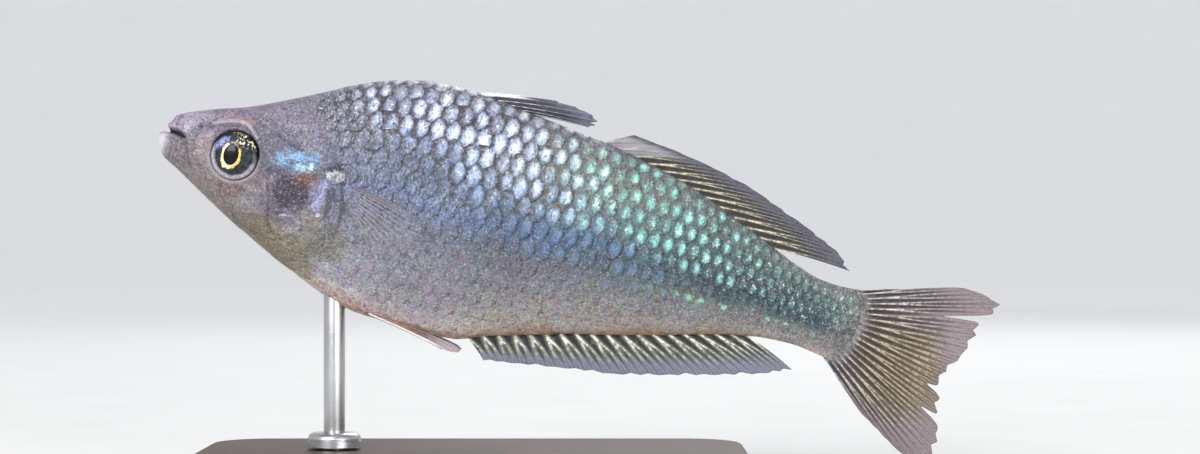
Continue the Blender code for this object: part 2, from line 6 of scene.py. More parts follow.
import bpy
import numpy as np
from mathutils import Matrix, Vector

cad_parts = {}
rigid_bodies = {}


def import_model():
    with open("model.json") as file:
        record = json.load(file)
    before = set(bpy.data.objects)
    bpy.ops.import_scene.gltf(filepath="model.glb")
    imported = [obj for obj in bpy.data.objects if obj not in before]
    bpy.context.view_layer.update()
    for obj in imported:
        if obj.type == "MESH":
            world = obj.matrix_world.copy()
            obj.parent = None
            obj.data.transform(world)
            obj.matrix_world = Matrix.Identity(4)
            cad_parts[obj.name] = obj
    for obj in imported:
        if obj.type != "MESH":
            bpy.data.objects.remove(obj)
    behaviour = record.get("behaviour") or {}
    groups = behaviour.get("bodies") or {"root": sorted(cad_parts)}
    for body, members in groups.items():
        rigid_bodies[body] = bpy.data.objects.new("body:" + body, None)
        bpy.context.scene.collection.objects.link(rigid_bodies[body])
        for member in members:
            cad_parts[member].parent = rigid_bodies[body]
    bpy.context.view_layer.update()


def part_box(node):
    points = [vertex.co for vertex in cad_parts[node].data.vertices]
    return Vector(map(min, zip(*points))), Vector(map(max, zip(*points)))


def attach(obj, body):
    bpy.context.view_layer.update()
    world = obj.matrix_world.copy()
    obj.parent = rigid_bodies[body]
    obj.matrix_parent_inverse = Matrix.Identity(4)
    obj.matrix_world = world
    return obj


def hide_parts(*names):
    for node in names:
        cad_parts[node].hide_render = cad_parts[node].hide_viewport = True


for leftover in list(bpy.data.objects):
    bpy.data.objects.remove(leftover)
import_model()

# The display base: one block of dark walnut with rounded corners and a softened upper edge,
# sanded and given a satin varnish. A shallow hole in its top takes the rod.
MM = 0.001
NEAR = 0.01 * MM
BASE_CORNER, BASE_TOP_EDGE, BASE_FOOT_EDGE = 7.0 * MM, 0.9 * MM, 0.35 * MM
WALNUT_DARK = (0.020, 0.010, 0.006)
WALNUT_LIGHT = (0.085, 0.045, 0.024)


class Value:
    """A shader socket that can be used in Python expressions, which add their Math nodes."""

    def __init__(self, finish, socket):
        self.finish = finish
        self.socket = socket

    def maths(self, operation, *terms):
        return self.finish.node("ShaderNodeMath", {"operation": operation}, dict(enumerate(terms)))

    def __add__(self, other):
        return self.maths("ADD", self, other)

    def __sub__(self, other):
        return self.maths("SUBTRACT", self, other)

    def __rsub__(self, other):
        return self.maths("SUBTRACT", other, self)

    def __mul__(self, other):
        return self.maths("MULTIPLY", self, other)

    def __truediv__(self, other):
        return self.maths("DIVIDE", self, other)

    def __pow__(self, other):
        return self.maths("POWER", self, other)

    def __abs__(self):
        return self.maths("ABSOLUTE", self)

    __radd__ = __add__
    __rmul__ = __mul__

    def wave(self):
        return self.maths("SINE", self)

    def most(self, other):
        return self.maths("MAXIMUM", self, other)

    def least(self, other):
        return self.maths("MINIMUM", self, other)

    def stray(self, noise, reach):
        """The value pushed up and down by a noise, so that what is drawn with it has rough edges."""
        return self + (noise - 0.5) * reach

    def rise(self, low, high):
        """0 below low and 1 above high, with a smooth slope between; low may be above high."""
        inputs = {"Value": self, "From Min": low, "From Max": high}
        return self.finish.node("ShaderNodeMapRange", {"interpolation_type": "SMOOTHSTEP"}, inputs)


class Finish:
    """A material whose nodes are added one by one and end in its Principled shader."""

    def __init__(self, name, **constants):
        self.material = bpy.data.materials.new(name)
        self.material.use_nodes = True
        self.tree = self.material.node_tree
        self.shader = self.tree.nodes["Principled BSDF"]
        for socket, value in constants.items():
            self.shader.inputs[socket.replace("_", " ")].default_value = value

    def put(self, socket, value):
        """Gives a socket a number, a colour, a vector or a link."""
        if isinstance(value, Value):
            self.tree.links.new(value.socket, socket)
        elif socket.type == "RGBA" and len(value) == 3:
            socket.default_value = (*value, 1)
        else:
            socket.default_value = value

    def node(self, kind, settings=None, inputs=None, output=0):
        made = self.tree.nodes.new(kind)
        for name, value in (settings or {}).items():
            if name == "stops":
                ramp = made.color_ramp
                while len(ramp.elements) < len(value):
                    ramp.elements.new(1)
                for element, (place, colour) in zip(ramp.elements, value):
                    element.position = place
                    element.color = (*colour, 1)
            else:
                setattr(made, name, value)
        for name, value in (inputs or {}).items():
            self.put(made.inputs[name], value)
        return Value(self, made.outputs[output])

    def mix(self, share, first, second, way="MIX"):
        settings = {"data_type": "RGBA", "blend_type": way}
        return self.node("ShaderNodeMix", settings, {0: share, 6: first, 7: second}, 2)

    def coats(self, colour, *coats):
        """A colour with others laid over it one by one, each given as (its share, its colour)."""
        for share, coat in coats:
            colour = self.mix(share, colour, coat)
        return colour

    def noise(self, vector, scale, detail=3.0, roughness=0.5, output=0):
        inputs = {"Vector": vector, "Scale": scale, "Detail": detail, "Roughness": roughness}
        return self.node("ShaderNodeTexNoise", {}, inputs, output)

    def mapped(self, name):
        """The numbers that the piece's mesh carries under a name."""
        return self.node("ShaderNodeAttribute", {"attribute_name": name}, output="Fac")

    def wandering(self, vector, scale, reach):
        """The vector pushed about by noise, so that what is drawn with it has uneven outlines."""
        push = {0: self.noise(vector, scale, 3, 0.6, 1), 1: (0.5,) * 3}
        centred = self.node("ShaderNodeVectorMath", {"operation": "SUBTRACT"}, push)
        steps = {0: centred, 1: (reach,) * 3, 2: vector}
        return self.node("ShaderNodeVectorMath", {"operation": "MULTIPLY_ADD"}, steps)

    def place(self, origin=(0, 0, 0), turn=(0, 0, 0), unit=MM, stretch=(1, 1, 1)):
        """The surface's place as a vector, in units from an origin and along turned axes."""
        where = self.node("ShaderNodeTexCoord", output="Object")
        inputs = {"Vector": where, "Location": origin, "Rotation": turn}
        inputs["Scale"] = tuple(unit * share for share in stretch)
        return self.node("ShaderNodeMapping", {"vector_type": "TEXTURE"}, inputs)

    def parts(self, vector):
        split = self.tree.nodes.new("ShaderNodeSeparateXYZ")
        self.put(split.inputs[0], vector)
        return [Value(self, output) for output in split.outputs]

    def bump(self, height, distance, strength=1.0):
        """Feeds the shader's normal with a bump whose height of 1 stands out by a distance."""
        inputs = {"Height": height, "Distance": distance, "Strength": strength}
        self.give(Normal=self.node("ShaderNodeBump", {}, inputs))

    def give(self, **links):
        for name, value in links.items():
            self.put(self.shader.inputs[name.replace("_", " ")], value)


def walnut():
    finish = Finish("walnut", Specular_IOR_Level=0.22)
    sweep = finish.noise(finish.place(stretch=(26, 2.2, 2.2)), 0.5, 5, 0.55)
    rings = (sweep * 44).wave() * 0.5 + 0.5
    pores = finish.noise(finish.place(stretch=(4, 0.16, 0.3)), 0.9, 3, 0.7).rise(0.62, 0.74)
    wood = finish.mix(rings * 0.38 + sweep * 0.40, WALNUT_DARK, WALNUT_LIGHT)
    colour = finish.mix(pores * 0.7, wood, WALNUT_DARK)
    finish.give(Base_Color=colour, Roughness=pores * 0.2 + 0.46)
    finish.bump(rings * 0.3 - pores, 0.03 * MM, 0.6)
    return finish.material


def finish_piece(piece, finish, slot_name, *nodes):
    """Gives a piece its finish and its body, and hides the nodes that it stands for; slot_name is not
    used.
    """
    piece.data.materials.clear()
    piece.data.materials.append(finish)
    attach(piece, "root")
    if nodes:
        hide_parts(*nodes)


def new_shape(operator, name, **settings):
    """A named object made by one of Blender's operators for simple shapes."""
    bpy.ops.object.select_all(action="DESELECT")
    operator(**settings)
    bpy.context.object.name = name
    return bpy.context.object


def pick(piece):
    """Makes a piece the active object and the only selected one."""
    bpy.ops.object.select_all(action="DESELECT")
    bpy.context.view_layer.objects.active = piece
    piece.select_set(True)


def in_edit_mode(piece, mode, *steps):
    """Runs edit-mode operators on a piece, each given as (operator, its settings)."""
    pick(piece)
    picks = tuple(mode == kind for kind in ("VERT", "EDGE", "FACE"))
    bpy.context.tool_settings.mesh_select_mode = picks
    bpy.ops.object.mode_set(mode="EDIT")
    for operator, settings in steps:
        operator(**settings)
    bpy.ops.object.mode_set(mode="OBJECT")


def round_edges(piece, width, segments, test):
    """Rounds the edges whose two ends pass a test of their places."""
    mesh = piece.data
    for element in (*mesh.vertices, *mesh.polygons):
        element.select = False
    for edge in mesh.edges:
        edge.select = test(*(mesh.vertices[i].co for i in edge.vertices))
    bevel = {"offset": width, "segments": segments, "affect": "EDGES"}
    in_edit_mode(piece, "EDGE", (bpy.ops.mesh.bevel, bevel))


def settle(piece, smooth_angle=None):
    """Moves a piece's place into its mesh, so that its object lies at the origin, and smooths it."""
    pick(piece)
    bpy.ops.object.transform_apply(location=True, rotation=True, scale=True)
    if smooth_angle is not None:
        bpy.ops.object.shade_smooth_by_angle(angle=math.radians(smooth_angle))


base_low, base_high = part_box("stand_base")
base_middle = (base_low + base_high) / 2
base = new_shape(bpy.ops.mesh.primitive_cube_add, "display_base", size=1, location=base_middle)
base.scale = base_high - base_low
settle(base)
round_edges(base, BASE_CORNER, 14, lambda a, b: abs(a.z - b.z) > NEAR)
round_edges(base, BASE_TOP_EDGE, 6, lambda a, b: min(a.z, b.z) > base_high.z - NEAR)
round_edges(base, BASE_FOOT_EDGE, 2, lambda a, b: max(a.z, b.z) < base_low.z + NEAR)
settle(base, 32)
finish_piece(base, walnut(), "dark_wood", "stand_base")


# The rod: a short length of steel bar, brushed round its axis and rounded over at both ends.
# It is glued into the base and ends in a blind hole in the fish's belly.
ROD_EDGE = 0.2 * MM
STEEL_DARK, STEEL_BRIGHT = (0.34, 0.345, 0.35), (0.66, 0.665, 0.67)


def brushed_steel(name, centre):
    finish = Finish(name, Metallic=1.0, Roughness=0.3)
    around = finish.noise(finish.place(origin=centre, stretch=(6, 6, 0.05)), 1.0, 4, 0.7)
    smudge = finish.noise(finish.place(origin=centre), 0.35, 3)
    tone = finish.mix(around * 0.6 + smudge * 0.3, STEEL_DARK, STEEL_BRIGHT)
    finish.give(Base_Color=tone, Roughness=around * 0.18 + smudge * 0.12 + 0.16)
    finish.bump(around, 0.012 * MM, 0.5)
    return finish.material


rod_low, rod_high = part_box("stand_rod")
rod_centre = (rod_low + rod_high) / 2
rod_radius = (rod_high.x - rod_low.x) / 2
rod = new_shape(
    bpy.ops.mesh.primitive_cylinder_add, "display_rod", location=rod_centre, radius=rod_radius,
    depth=rod_high.z - rod_low.z, vertices=64,
)
settle(rod)
round_edges(rod, ROD_EDGE, 3, lambda a, b: abs(a.z - b.z) < NEAR)
settle(rod, 30)
finish_piece(rod, brushed_steel("brushed_bar", rod_centre), "brushed_steel", "stand_rod")

# The collar: a turned steel ring at the rod's foot, with a groove under its rounded shoulder,
# that covers the hole in the wood.
# Its outer face from foot to top: the share of its radius and of its height
COLLAR_TURNING = (
    (1.0, 0.0), (1.0, 0.42), (0.955, 0.46), (0.955, 0.54), (0.99, 0.58), (0.975, 0.74),
    (0.92, 0.88), (0.83, 0.97), (0.74, 1.0),
)
COLLAR_GAP = 0.02 * MM
OUTWARDS = (
    (bpy.ops.mesh.select_all, {"action": "SELECT"}),
    (bpy.ops.mesh.normals_make_consistent, {"inside": False}),
)
collar_low, collar_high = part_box("stand_collar")
collar_radius = (collar_high.x - collar_low.x) / 2
collar_height = collar_high.z - collar_low.z


def turned_on(lift, widening=None):
    """Steps that draw the open edge of a turned shape upwards, and then in or out."""
    steps = [(bpy.ops.mesh.extrude_edges_move, {"TRANSFORM_OT_translate": {"value": (0, 0, lift)}})]
    if widening:
        steps.append((bpy.ops.transform.resize, {"value": (widening, widening, 1)}))
    return steps


collar = new_shape(
    bpy.ops.mesh.primitive_circle_add, "display_collar", vertices=72, radius=collar_radius,
    location=(0, 0, 0),
)
collar_steps = []
for (here, low), (there, high) in zip(COLLAR_TURNING, COLLAR_TURNING[1:]):
    collar_steps += turned_on((high - low) * collar_height, there / here)
top_radius = COLLAR_TURNING[-1][0] * collar_radius
collar_steps += turned_on(0, (rod_radius + COLLAR_GAP) / top_radius)
collar_steps += turned_on(-collar_height)
in_edit_mode(collar, "EDGE", *collar_steps, *OUTWARDS)
collar.location = (rod_centre.x, rod_centre.y, collar_low.z)
settle(collar, 30)
finish_piece(collar, brushed_steel("turned_collar", rod_centre), "brushed_steel", "stand_collar")

# The fish's skin, from the lips to the end of the tail stem: one wet, silvery hide with the mouth,
# nostrils, eye sockets, cheek bones and gill covers modelled in it. Sizes are in millimetres in the
# fish's own axes: along from the snout, sideways, and up from the line to the tail's base.
PITCH = math.radians(15)
SNOUT = Vector((-46.74 * MM, 0, 40.0 * MM))
BACK_LINE = (
    (-0.5, 2.0), (1.5, 3.3), (5, 4.7), (8.5, 5.9), (13.5, 8.3), (19, 11.3), (24, 13.2), (29, 14.1),
    (36, 13.8), (43, 13.0), (50, 12.1), (55, 11.1), (60.5, 9.5), (66.5, 7.1), (72, 4.9), (76, 3.8),
    (84, 3.9),
)
BELLY_LINE = (
    (-0.5, -1.4), (1, -2.3), (2.2, -2.9), (4.7, -4.3), (8.1, -6.2), (11.6, -8.0), (15.6, -9.8),
    (19, -11.3), (23, -12.8), (26, -13.4), (30, -13.5), (34, -13.6), (37.5, -13.4), (41, -12.2),
    (48, -10.1), (55, -8.3), (62, -6.4), (67, -5.0), (70.7, -4.4), (74.5, -4.25), (78, -4.7), (84, -5.4),
)
HALF_WIDTHS = (
    (-0.5, 1.7), (1, 2.1), (3, 2.7), (5.5, 3.4), (8.5, 4.1), (12, 4.8), (16, 5.35), (20, 5.7),
    (25, 5.9), (32, 5.85), (40, 5.4), (48, 4.7), (56, 3.9), (64, 3.0), (70, 2.3), (75, 1.8), (80, 1.0),
    (84, 0.5),
)
WIDEST_LEVELS = (
    (-0.5, -0.1), (3, 0.2), (8.5, 0.0), (20, -0.6), (32, 0.0), (45, 0.6), (60, 1.0), (72, 0.2), (84, -0.6),
)
BACK_FULLNESS = ((-0.5, 2.5), (8.5, 2.7), (16, 2.2), (30, 2.0), (84, 2.0))
BELLY_FULLNESS = ((-0.5, 2.3), (8.5, 1.95), (16, 1.85), (25, 2.0), (42, 1.8), (70, 1.9), (84, 2.0))
SNOUT_START, SNOUT_ROUNDING = -0.5, 1.3
STEM_START, STEM_TAPER = 69.4, 5.0
TAIL_ARC_CENTRE, TAIL_ARC_RADIUS = (75.4, 0.1), 6.35
SKIN_RINGS = ((0.12, 0.8), (0.62, 23.5), (0.93, 69.4), (1.0, 82.0))
SKIN_SEGMENTS, SKIN_RING_COUNT = 280, 340
LINE_POINTS = 24
COAT_DEPTH = 0.12
GILL_EDGE = (
    (17, 17.6), (10, 17.8), (6, 18.4), (3, 19.6), (0.7, 20.9), (-1.4, 21.8), (-4.2, 22.1),
    (-7.2, 21.2), (-9.5, 18.7), (-11.0, 15.8), (-16, 12.5),
)
EYE_CENTRE, EYE_RADIUS = (8.7, 0.2), 2.7
MOUTH_LINE = ((-0.6, 0.95), (0.4, 1.0), (1.3, 1.02), (2.6, 0.6), (3.2, 0.25))
# Creases between the bones of the head: depth, width and the line that each follows
HEAD_CREASES = (
    (0.16, 0.13, ((1.45, 3.15), (1.25, 2.4), (1.45, 1.55), (2.2, 0.8))),
    (0.14, 0.15, ((2.75, 0.35), (3.1, -0.5), (3.55, -1.5), (4.1, -2.5))),
    (0.09, 0.16, ((5.4, 2.5), (6.6, 3.1), (7.7, 3.42), (8.8, 3.5), (9.8, 3.0), (10.6, 2.2))),
    (0.13, 0.21, ((12.95, -0.3), (13.1, -1.4), (13.5, -2.8), (14.0, -4.5), (14.2, -6.0), (15.2, -7.1))),
    (0.13, 0.20, ((19.2, -0.9), (18.8, -2.2), (17.6, -3.6), (16.0, -4.5), (14.2, -4.8))),
    (0.09, 0.18, ((9.4, -5.9), (11.6, -7.3), (14.2, -7.75), (16.4, -7.2), (18.2, -5.7))),
    (0.07, 0.18, ((8.6, -5.2), (11.6, -7.9), (14.6, -9.3), (17.4, -9.6))),
    (0.08, 0.20, ((10.8, 4.4), (13.4, 3.6), (16.0, 2.8), (18.6, 1.9))),
)
SUPRAORBITAL_RIDGE = ((5.3, 2.95), (6.6, 3.5), (7.7, 3.85), (8.8, 3.95), (9.8, 3.5), (10.7, 2.7))
NOSTRILS = ((4.1, 2.3, 0.16), (5.1, 2.8, 0.22))


def through(points):
    """A smooth curve through (x, y) points, straight beyond its ends, that takes arrays."""
    xs, ys = np.array(points, float).T
    steps = np.diff(ys) / np.diff(xs)
    inner = (ys[2:] - ys[:-2]) / (xs[2:] - xs[:-2])
    slopes = np.concatenate((steps[:1], inner, steps[-1:]))

    def at(x):
        x = np.asarray(x, float)
        i = np.clip(np.searchsorted(xs, x) - 1, 0, len(xs) - 2)
        span = xs[i + 1] - xs[i]
        t = (x - xs[i]) / span
        ease = t * t * (3 - 2 * t)
        bend = slopes[i] * t * (1 - t) ** 2 - slopes[i + 1] * t * t * (1 - t)
        inside = ys[i] + (ys[i + 1] - ys[i]) * ease + span * bend
        start = ys[0] + slopes[0] * (x - xs[0])
        end = ys[-1] + slopes[-1] * (x - xs[-1])
        return np.where(x < xs[0], start, np.where(x > xs[-1], end, inside))

    return at


back_line, belly_line, mouth_line = through(BACK_LINE), through(BELLY_LINE), through(MOUTH_LINE)
half_width_at, level_at = through(HALF_WIDTHS), through(WIDEST_LEVELS)
back_fullness, belly_fullness = through(BACK_FULLNESS), through(BELLY_FULLNESS)
gill_edge = through(sorted(GILL_EDGE))


def eased(x, low, high):
    """0 below low and 1 above high, with a smooth slope between."""
    t = np.clip((x - low) / (high - low), 0, 1)
    return t * t * (3 - 2 * t)


def hill(x, width):
    return np.exp(-((x / width) ** 2))


def rounded_line(points):
    """A smooth line through points, as many short straight pieces."""
    steps = np.arange(len(points))
    share = np.linspace(0, len(points) - 1, LINE_POINTS)
    return np.stack([through(tuple(zip(steps, column)))(share) for column in zip(*points)], 1)


def distance_to(points, along, up):
    """How far places lie from the smooth line through some points, in the fish's side view."""
    line = rounded_line(points)
    nearest = np.full(np.shape(along), np.inf)
    for (x0, z0), (x1, z1) in zip(line, line[1:]):
        run, climb = x1 - x0, z1 - z0
        t = np.clip(((along - x0) * run + (up - z0) * climb) / (run * run + climb * climb), 0, 1)
        nearest = np.minimum(nearest, np.hypot(along - x0 - t * run, up - z0 - t * climb))
    return nearest


def body_section(along):
    """The widest level, the reach above and below it, the half width and the fullness there."""
    reach = np.clip((along - SNOUT_START) / SNOUT_ROUNDING, 0, 1)
    rounding = np.sqrt(1 - (1 - reach) ** 2)
    level = level_at(along)
    up = (back_line(along) - level) * rounding
    down = (level - belly_line(along)) * rounding
    wide = half_width_at(along) * rounding
    return level, up, down, wide, back_fullness(along), belly_fullness(along)


def round_body(along, turn):
    """The side and height of the plain body at a station and a turn from the top of the back."""
    level, up, down, wide, full_up, full_down = body_section(along)
    upward, across = np.cos(turn), np.sin(turn)
    full = np.where(upward > 0, full_up, full_down)
    reach = np.where(upward > 0, up, down)
    height = level + np.sign(upward) * np.abs(upward) ** (2 / full) * reach
    side = np.sign(across) * np.abs(across) ** (2 / full) * wide
    return side, height


def plain_half_width(along, height):
    level, up, down, wide, full_up, full_down = body_section(along)
    above = height > level
    full = np.where(above, full_up, full_down)
    part = np.abs(height - level) / np.where(above, up, down)
    return wide * np.clip(1 - part**full, 0, 1) ** (1 / full)


def in_world(points):
    """Points in the fish's millimetres as points of the model in metres."""
    x, y, z = np.moveaxis(np.asarray(points, float), -1, 0)
    east = SNOUT.x + (x * math.cos(PITCH) + z * math.sin(PITCH)) * MM
    up = SNOUT.z + (z * math.cos(PITCH) - x * math.sin(PITCH)) * MM
    return np.stack((east, y * MM, up), -1)


def outward(grid):
    """Unit normals of a closed grid of points, whose last axis but one goes round the body."""
    along = np.gradient(grid, axis=0)
    around = np.roll(grid, -1, axis=1) - np.roll(grid, 1, axis=1)
    normal = np.cross(around, along)
    length = np.linalg.norm(normal, axis=-1, keepdims=True)
    normal = normal / np.maximum(length, 1e-9)
    inward = np.sign((normal * (grid - grid.mean(1, keepdims=True))).sum(-1).mean())
    return normal * inward


def past_nape(along, height):
    """How far a point lies behind the line where the scales begin on the nape."""
    return along - np.interp(height, (1.5, 4, 8, 10), (20.3, 17.0, 13.4, 13.6))


def throat_share(height):
    """0 on the cheek and 1 under the throat, where the gill cover's edge fades out."""
    return eased(height, -3.5, -7.5)


def scaled_share(along, height):
    """1 where the skin carries scales, and 0 on the naked head."""
    behind_gill = eased(along - gill_edge(height), 0.1, 0.5 + 2.5 * throat_share(height))
    return np.where(height > 2.2, eased(past_nape(along, height), -0.3, 3.2), behind_gill)


def skin_relief(along, height):
    """How far the skin stands out from the plain body: bones, lips, sockets and creases."""
    behind = gill_edge(height) - along
    bulge = np.hypot((along - 17.0) / 7.2, (height + 3.0) / 8.5)
    lift = 0.34 * np.minimum(2.2 * np.clip(1 - bulge**2, 0, 1) ** 2, 1)
    soft = throat_share(height)
    relief = lift * eased(behind, -0.3 - 1.8 * soft, 0.5 + 1.5 * soft)
    low_edge = eased(height, -9, -4) * (1 - eased(height, 1.0, 3.0))
    relief -= 0.14 * hill(behind + 0.2, 0.22) * low_edge
    relief -= COAT_DEPTH * scaled_share(along, height) * eased(stem_end(height) - along, 0.2, 2.2)
    mouth = height - mouth_line(along)
    front = 1 - eased(along, 2.2, 2.9)
    relief -= (0.6 * hill(mouth, 0.11) + 0.34 * hill(mouth, 0.34)) * front
    relief += 0.17 * hill(mouth - 0.55, 0.3) * front + 0.15 * hill(mouth + 0.52, 0.28) * front
    for depth, width, line in HEAD_CREASES:
        relief -= depth * hill(distance_to(line, along, height), width)
    relief += 0.17 * hill(distance_to(SUPRAORBITAL_RIDGE, along, height), 0.28)
    for x, z, size in NOSTRILS:
        away = np.hypot(along - x, height - z)
        relief += 0.1 * hill(away - 1.9 * size, 0.7 * size) - 0.45 * hill(away, size)
    from_eye = np.hypot(along - EYE_CENTRE[0], height - EYE_CENTRE[1])
    relief += 0.16 * hill(from_eye - EYE_RADIUS - 0.36, 0.24)
    relief += 0.05 * hill(from_eye - EYE_RADIUS - 1.0, 0.4)
    relief -= 1.7 * (1 - eased(from_eye, EYE_RADIUS - 0.12, EYE_RADIUS + 0.14))
    return relief


def crease_share(along, height):
    """1 in the deeper creases of the head and along the gill cover's lower edge, -1 on the ridge over the
    eye and 0 elsewhere: where the hide gets painted shade and a painted highlight.
    """
    low_edge = eased(height, -7, -3) * (1 - eased(height, 0.0, 1.5))
    share = hill(along - gill_edge(height) + 0.1, 0.26) * low_edge
    for depth, width, line in HEAD_CREASES:
        near = hill(distance_to(line, along, height), width * 1.15)
        share = np.maximum(share, near * min(depth / 0.15, 1))
    return share - hill(distance_to(SUPRAORBITAL_RIDGE, along, height), 0.26)


def stem_end(height):
    """The station of the round end that carries the tail fin, at a height."""
    rise = np.clip(height - TAIL_ARC_CENTRE[1], -6.2, 6.2)
    return TAIL_ARC_CENTRE[0] + np.sqrt(TAIL_ARC_RADIUS**2 - rise**2)


def stem_taper(along, height):
    """How the stem thins towards its round end."""
    return 1 - (1 - np.clip((stem_end(height) - along) / STEM_TAPER, 0, 1)) ** 1.8


def ring_grid():
    """The skin's points, ring by ring from the snout's tip to the end of the tail stem."""
    rings = np.linspace(0, 1, SKIN_RING_COUNT + 1)
    stations = np.interp(rings, *np.array(SKIN_RINGS).T)
    opening = np.clip(rings / SKIN_RINGS[0][0], 0, 1) * math.pi / 2
    stations -= np.cos(opening) * SNOUT_ROUNDING
    turns = np.arange(SKIN_SEGMENTS) * math.tau / SKIN_SEGMENTS
    along, turn = np.meshgrid(stations, turns, indexing="ij")
    share = np.clip((along - STEM_START) / (SKIN_RINGS[-1][1] - STEM_START), 0, 1)
    side, height = round_body(along, turn)
    for _ in range(4):
        bent = np.where(share > 0, STEM_START + share * (stem_end(height) - STEM_START), along)
        side, height = round_body(bent, turn)
    side = side * stem_taper(bent, height)
    upper_jaw = eased(height - mouth_line(bent), -0.1, 0.1)
    recess = np.clip(0.9 - bent, 0, 1.4) * 0.4
    return np.stack((bent + upper_jaw * recess, side, height), -1)


def vertex_places(piece):
    """The places of a piece's vertices, one to a row."""
    places = np.zeros(len(piece.data.vertices) * 3)
    piece.data.vertices.foreach_get("co", places)
    return places.reshape(-1, 3)


def sphere_places(piece, segments, ring_count):
    """The ring and segment numbers of a UV sphere's vertices, counted from its upper pole."""
    unit = vertex_places(piece)
    unit /= np.linalg.norm(unit, axis=1, keepdims=True)
    ring = np.rint(np.arccos(np.clip(unit[:, 2], -1, 1)) / math.pi * ring_count).astype(int)
    turn = np.arctan2(unit[:, 1], unit[:, 0]) / math.tau * segments
    return ring, np.rint(turn).astype(int) % segments


def smooth_shaded(piece):
    piece.data.polygons.foreach_set("use_smooth", [True] * len(piece.data.polygons))
    piece.data.update()


def reshape(piece, places):
    """Moves a piece's vertices, turns its faces outwards and shades them smoothly."""
    piece.data.vertices.foreach_set("co", places.ravel())
    in_edit_mode(piece, "FACE", *OUTWARDS)
    smooth_shaded(piece)


def add_map(piece, name, values):
    """Gives each of a piece's vertices a number that a finish reads by this name."""
    piece.data.attributes.new(name, "FLOAT", "POINT").data.foreach_set("value", values)


skin = new_shape(
    bpy.ops.mesh.primitive_uv_sphere_add, "fish_skin", segments=SKIN_SEGMENTS,
    ring_count=SKIN_RING_COUNT, radius=1,
)
skin_rings, skin_turns = sphere_places(skin, SKIN_SEGMENTS, SKIN_RING_COUNT)
skin_grid = ring_grid()
skin_along, _, skin_height = np.moveaxis(skin_grid, -1, 0)
skin_creases = crease_share(skin_along, skin_height)[skin_rings, skin_turns]
skin_grid = skin_grid + outward(skin_grid) * skin_relief(skin_along, skin_height)[..., None]
reshape(skin, in_world(skin_grid[skin_rings, skin_turns]))
add_map(skin, "crease", skin_creases)


def fish_place(finish, stretch=(1, 1, 1)):
    """The surface's place in the fish's own millimetres, as a vector."""
    return finish.place(origin=tuple(SNOUT), turn=(0, PITCH, 0), stretch=stretch)


def patch(x, z, centre, radii, tilt, soft):
    """A soft-edged oval of 1 on the fish's side, turned by a tilt in degrees."""
    turn = math.radians(tilt)
    across, upward = x - centre[0], z - centre[1]
    first = (across * math.cos(turn) + upward * math.sin(turn)) / radii[0]
    second = (upward * math.cos(turn) - across * math.sin(turn)) / radii[1]
    return (first * first + second * second).rise(1.0, 1.0 - soft)


# Near black: dark pigment in the skin and fins, and painted shade in the mouth's slit, round the eyes and
# at the gill opening
PIGMENT_BLACK_AND_SHADE = (0.012, 0.011, 0.014)
PEARL = (0.78, 0.76, 0.74)
# Colours up the fish's side from belly to back, by the share of its height: the fore part, the
# middle and the part before the tail
FORE_COLOURS = (
    (0.00, (0.80, 0.54, 0.45)), (0.04, (0.70, 0.61, 0.60)), (0.09, (0.40, 0.37, 0.41)),
    (0.16, (0.26, 0.25, 0.29)), (0.38, (0.15, 0.16, 0.21)), (0.52, (0.115, 0.155, 0.255)),
    (0.62, (0.115, 0.145, 0.215)), (0.84, (0.145, 0.145, 0.19)), (0.93, (0.145, 0.15, 0.20)),
    (1.00, (0.18, 0.175, 0.235)),
)
MIDDLE_COLOURS = (
    (0.00, (0.82, 0.52, 0.36)), (0.035, (0.70, 0.62, 0.55)), (0.10, (0.42, 0.39, 0.38)),
    (0.22, (0.21, 0.205, 0.22)), (0.38, (0.105, 0.115, 0.145)), (0.50, (0.055, 0.112, 0.210)),
    (0.60, (0.13, 0.19, 0.24)), (0.80, (0.25, 0.29, 0.27)), (0.93, (0.20, 0.20, 0.19)),
    (1.00, (0.17, 0.165, 0.195)),
)
REAR_COLOURS = (
    (0.00, (0.78, 0.44, 0.22)), (0.05, (0.48, 0.42, 0.37)), (0.14, (0.29, 0.27, 0.265)),
    (0.24, (0.20, 0.20, 0.20)), (0.32, (0.115, 0.15, 0.145)), (0.42, (0.050, 0.095, 0.115)),
    (0.66, (0.075, 0.175, 0.17)), (0.82, (0.145, 0.195, 0.165)), (1.00, (0.17, 0.17, 0.18)),
)
DEEP_TEAL = (0.012, 0.030, 0.040)
# Colours up the naked head from the throat to the crown, by height from -9 to 6 mm
HEAD_COLOURS = (
    (0.00, (0.22, 0.19, 0.14)), (0.25, (0.23, 0.195, 0.19)), (0.50, (0.21, 0.18, 0.19)),
    (0.72, (0.125, 0.115, 0.155)), (0.84, (0.14, 0.125, 0.175)), (0.95, (0.21, 0.18, 0.255)),
)
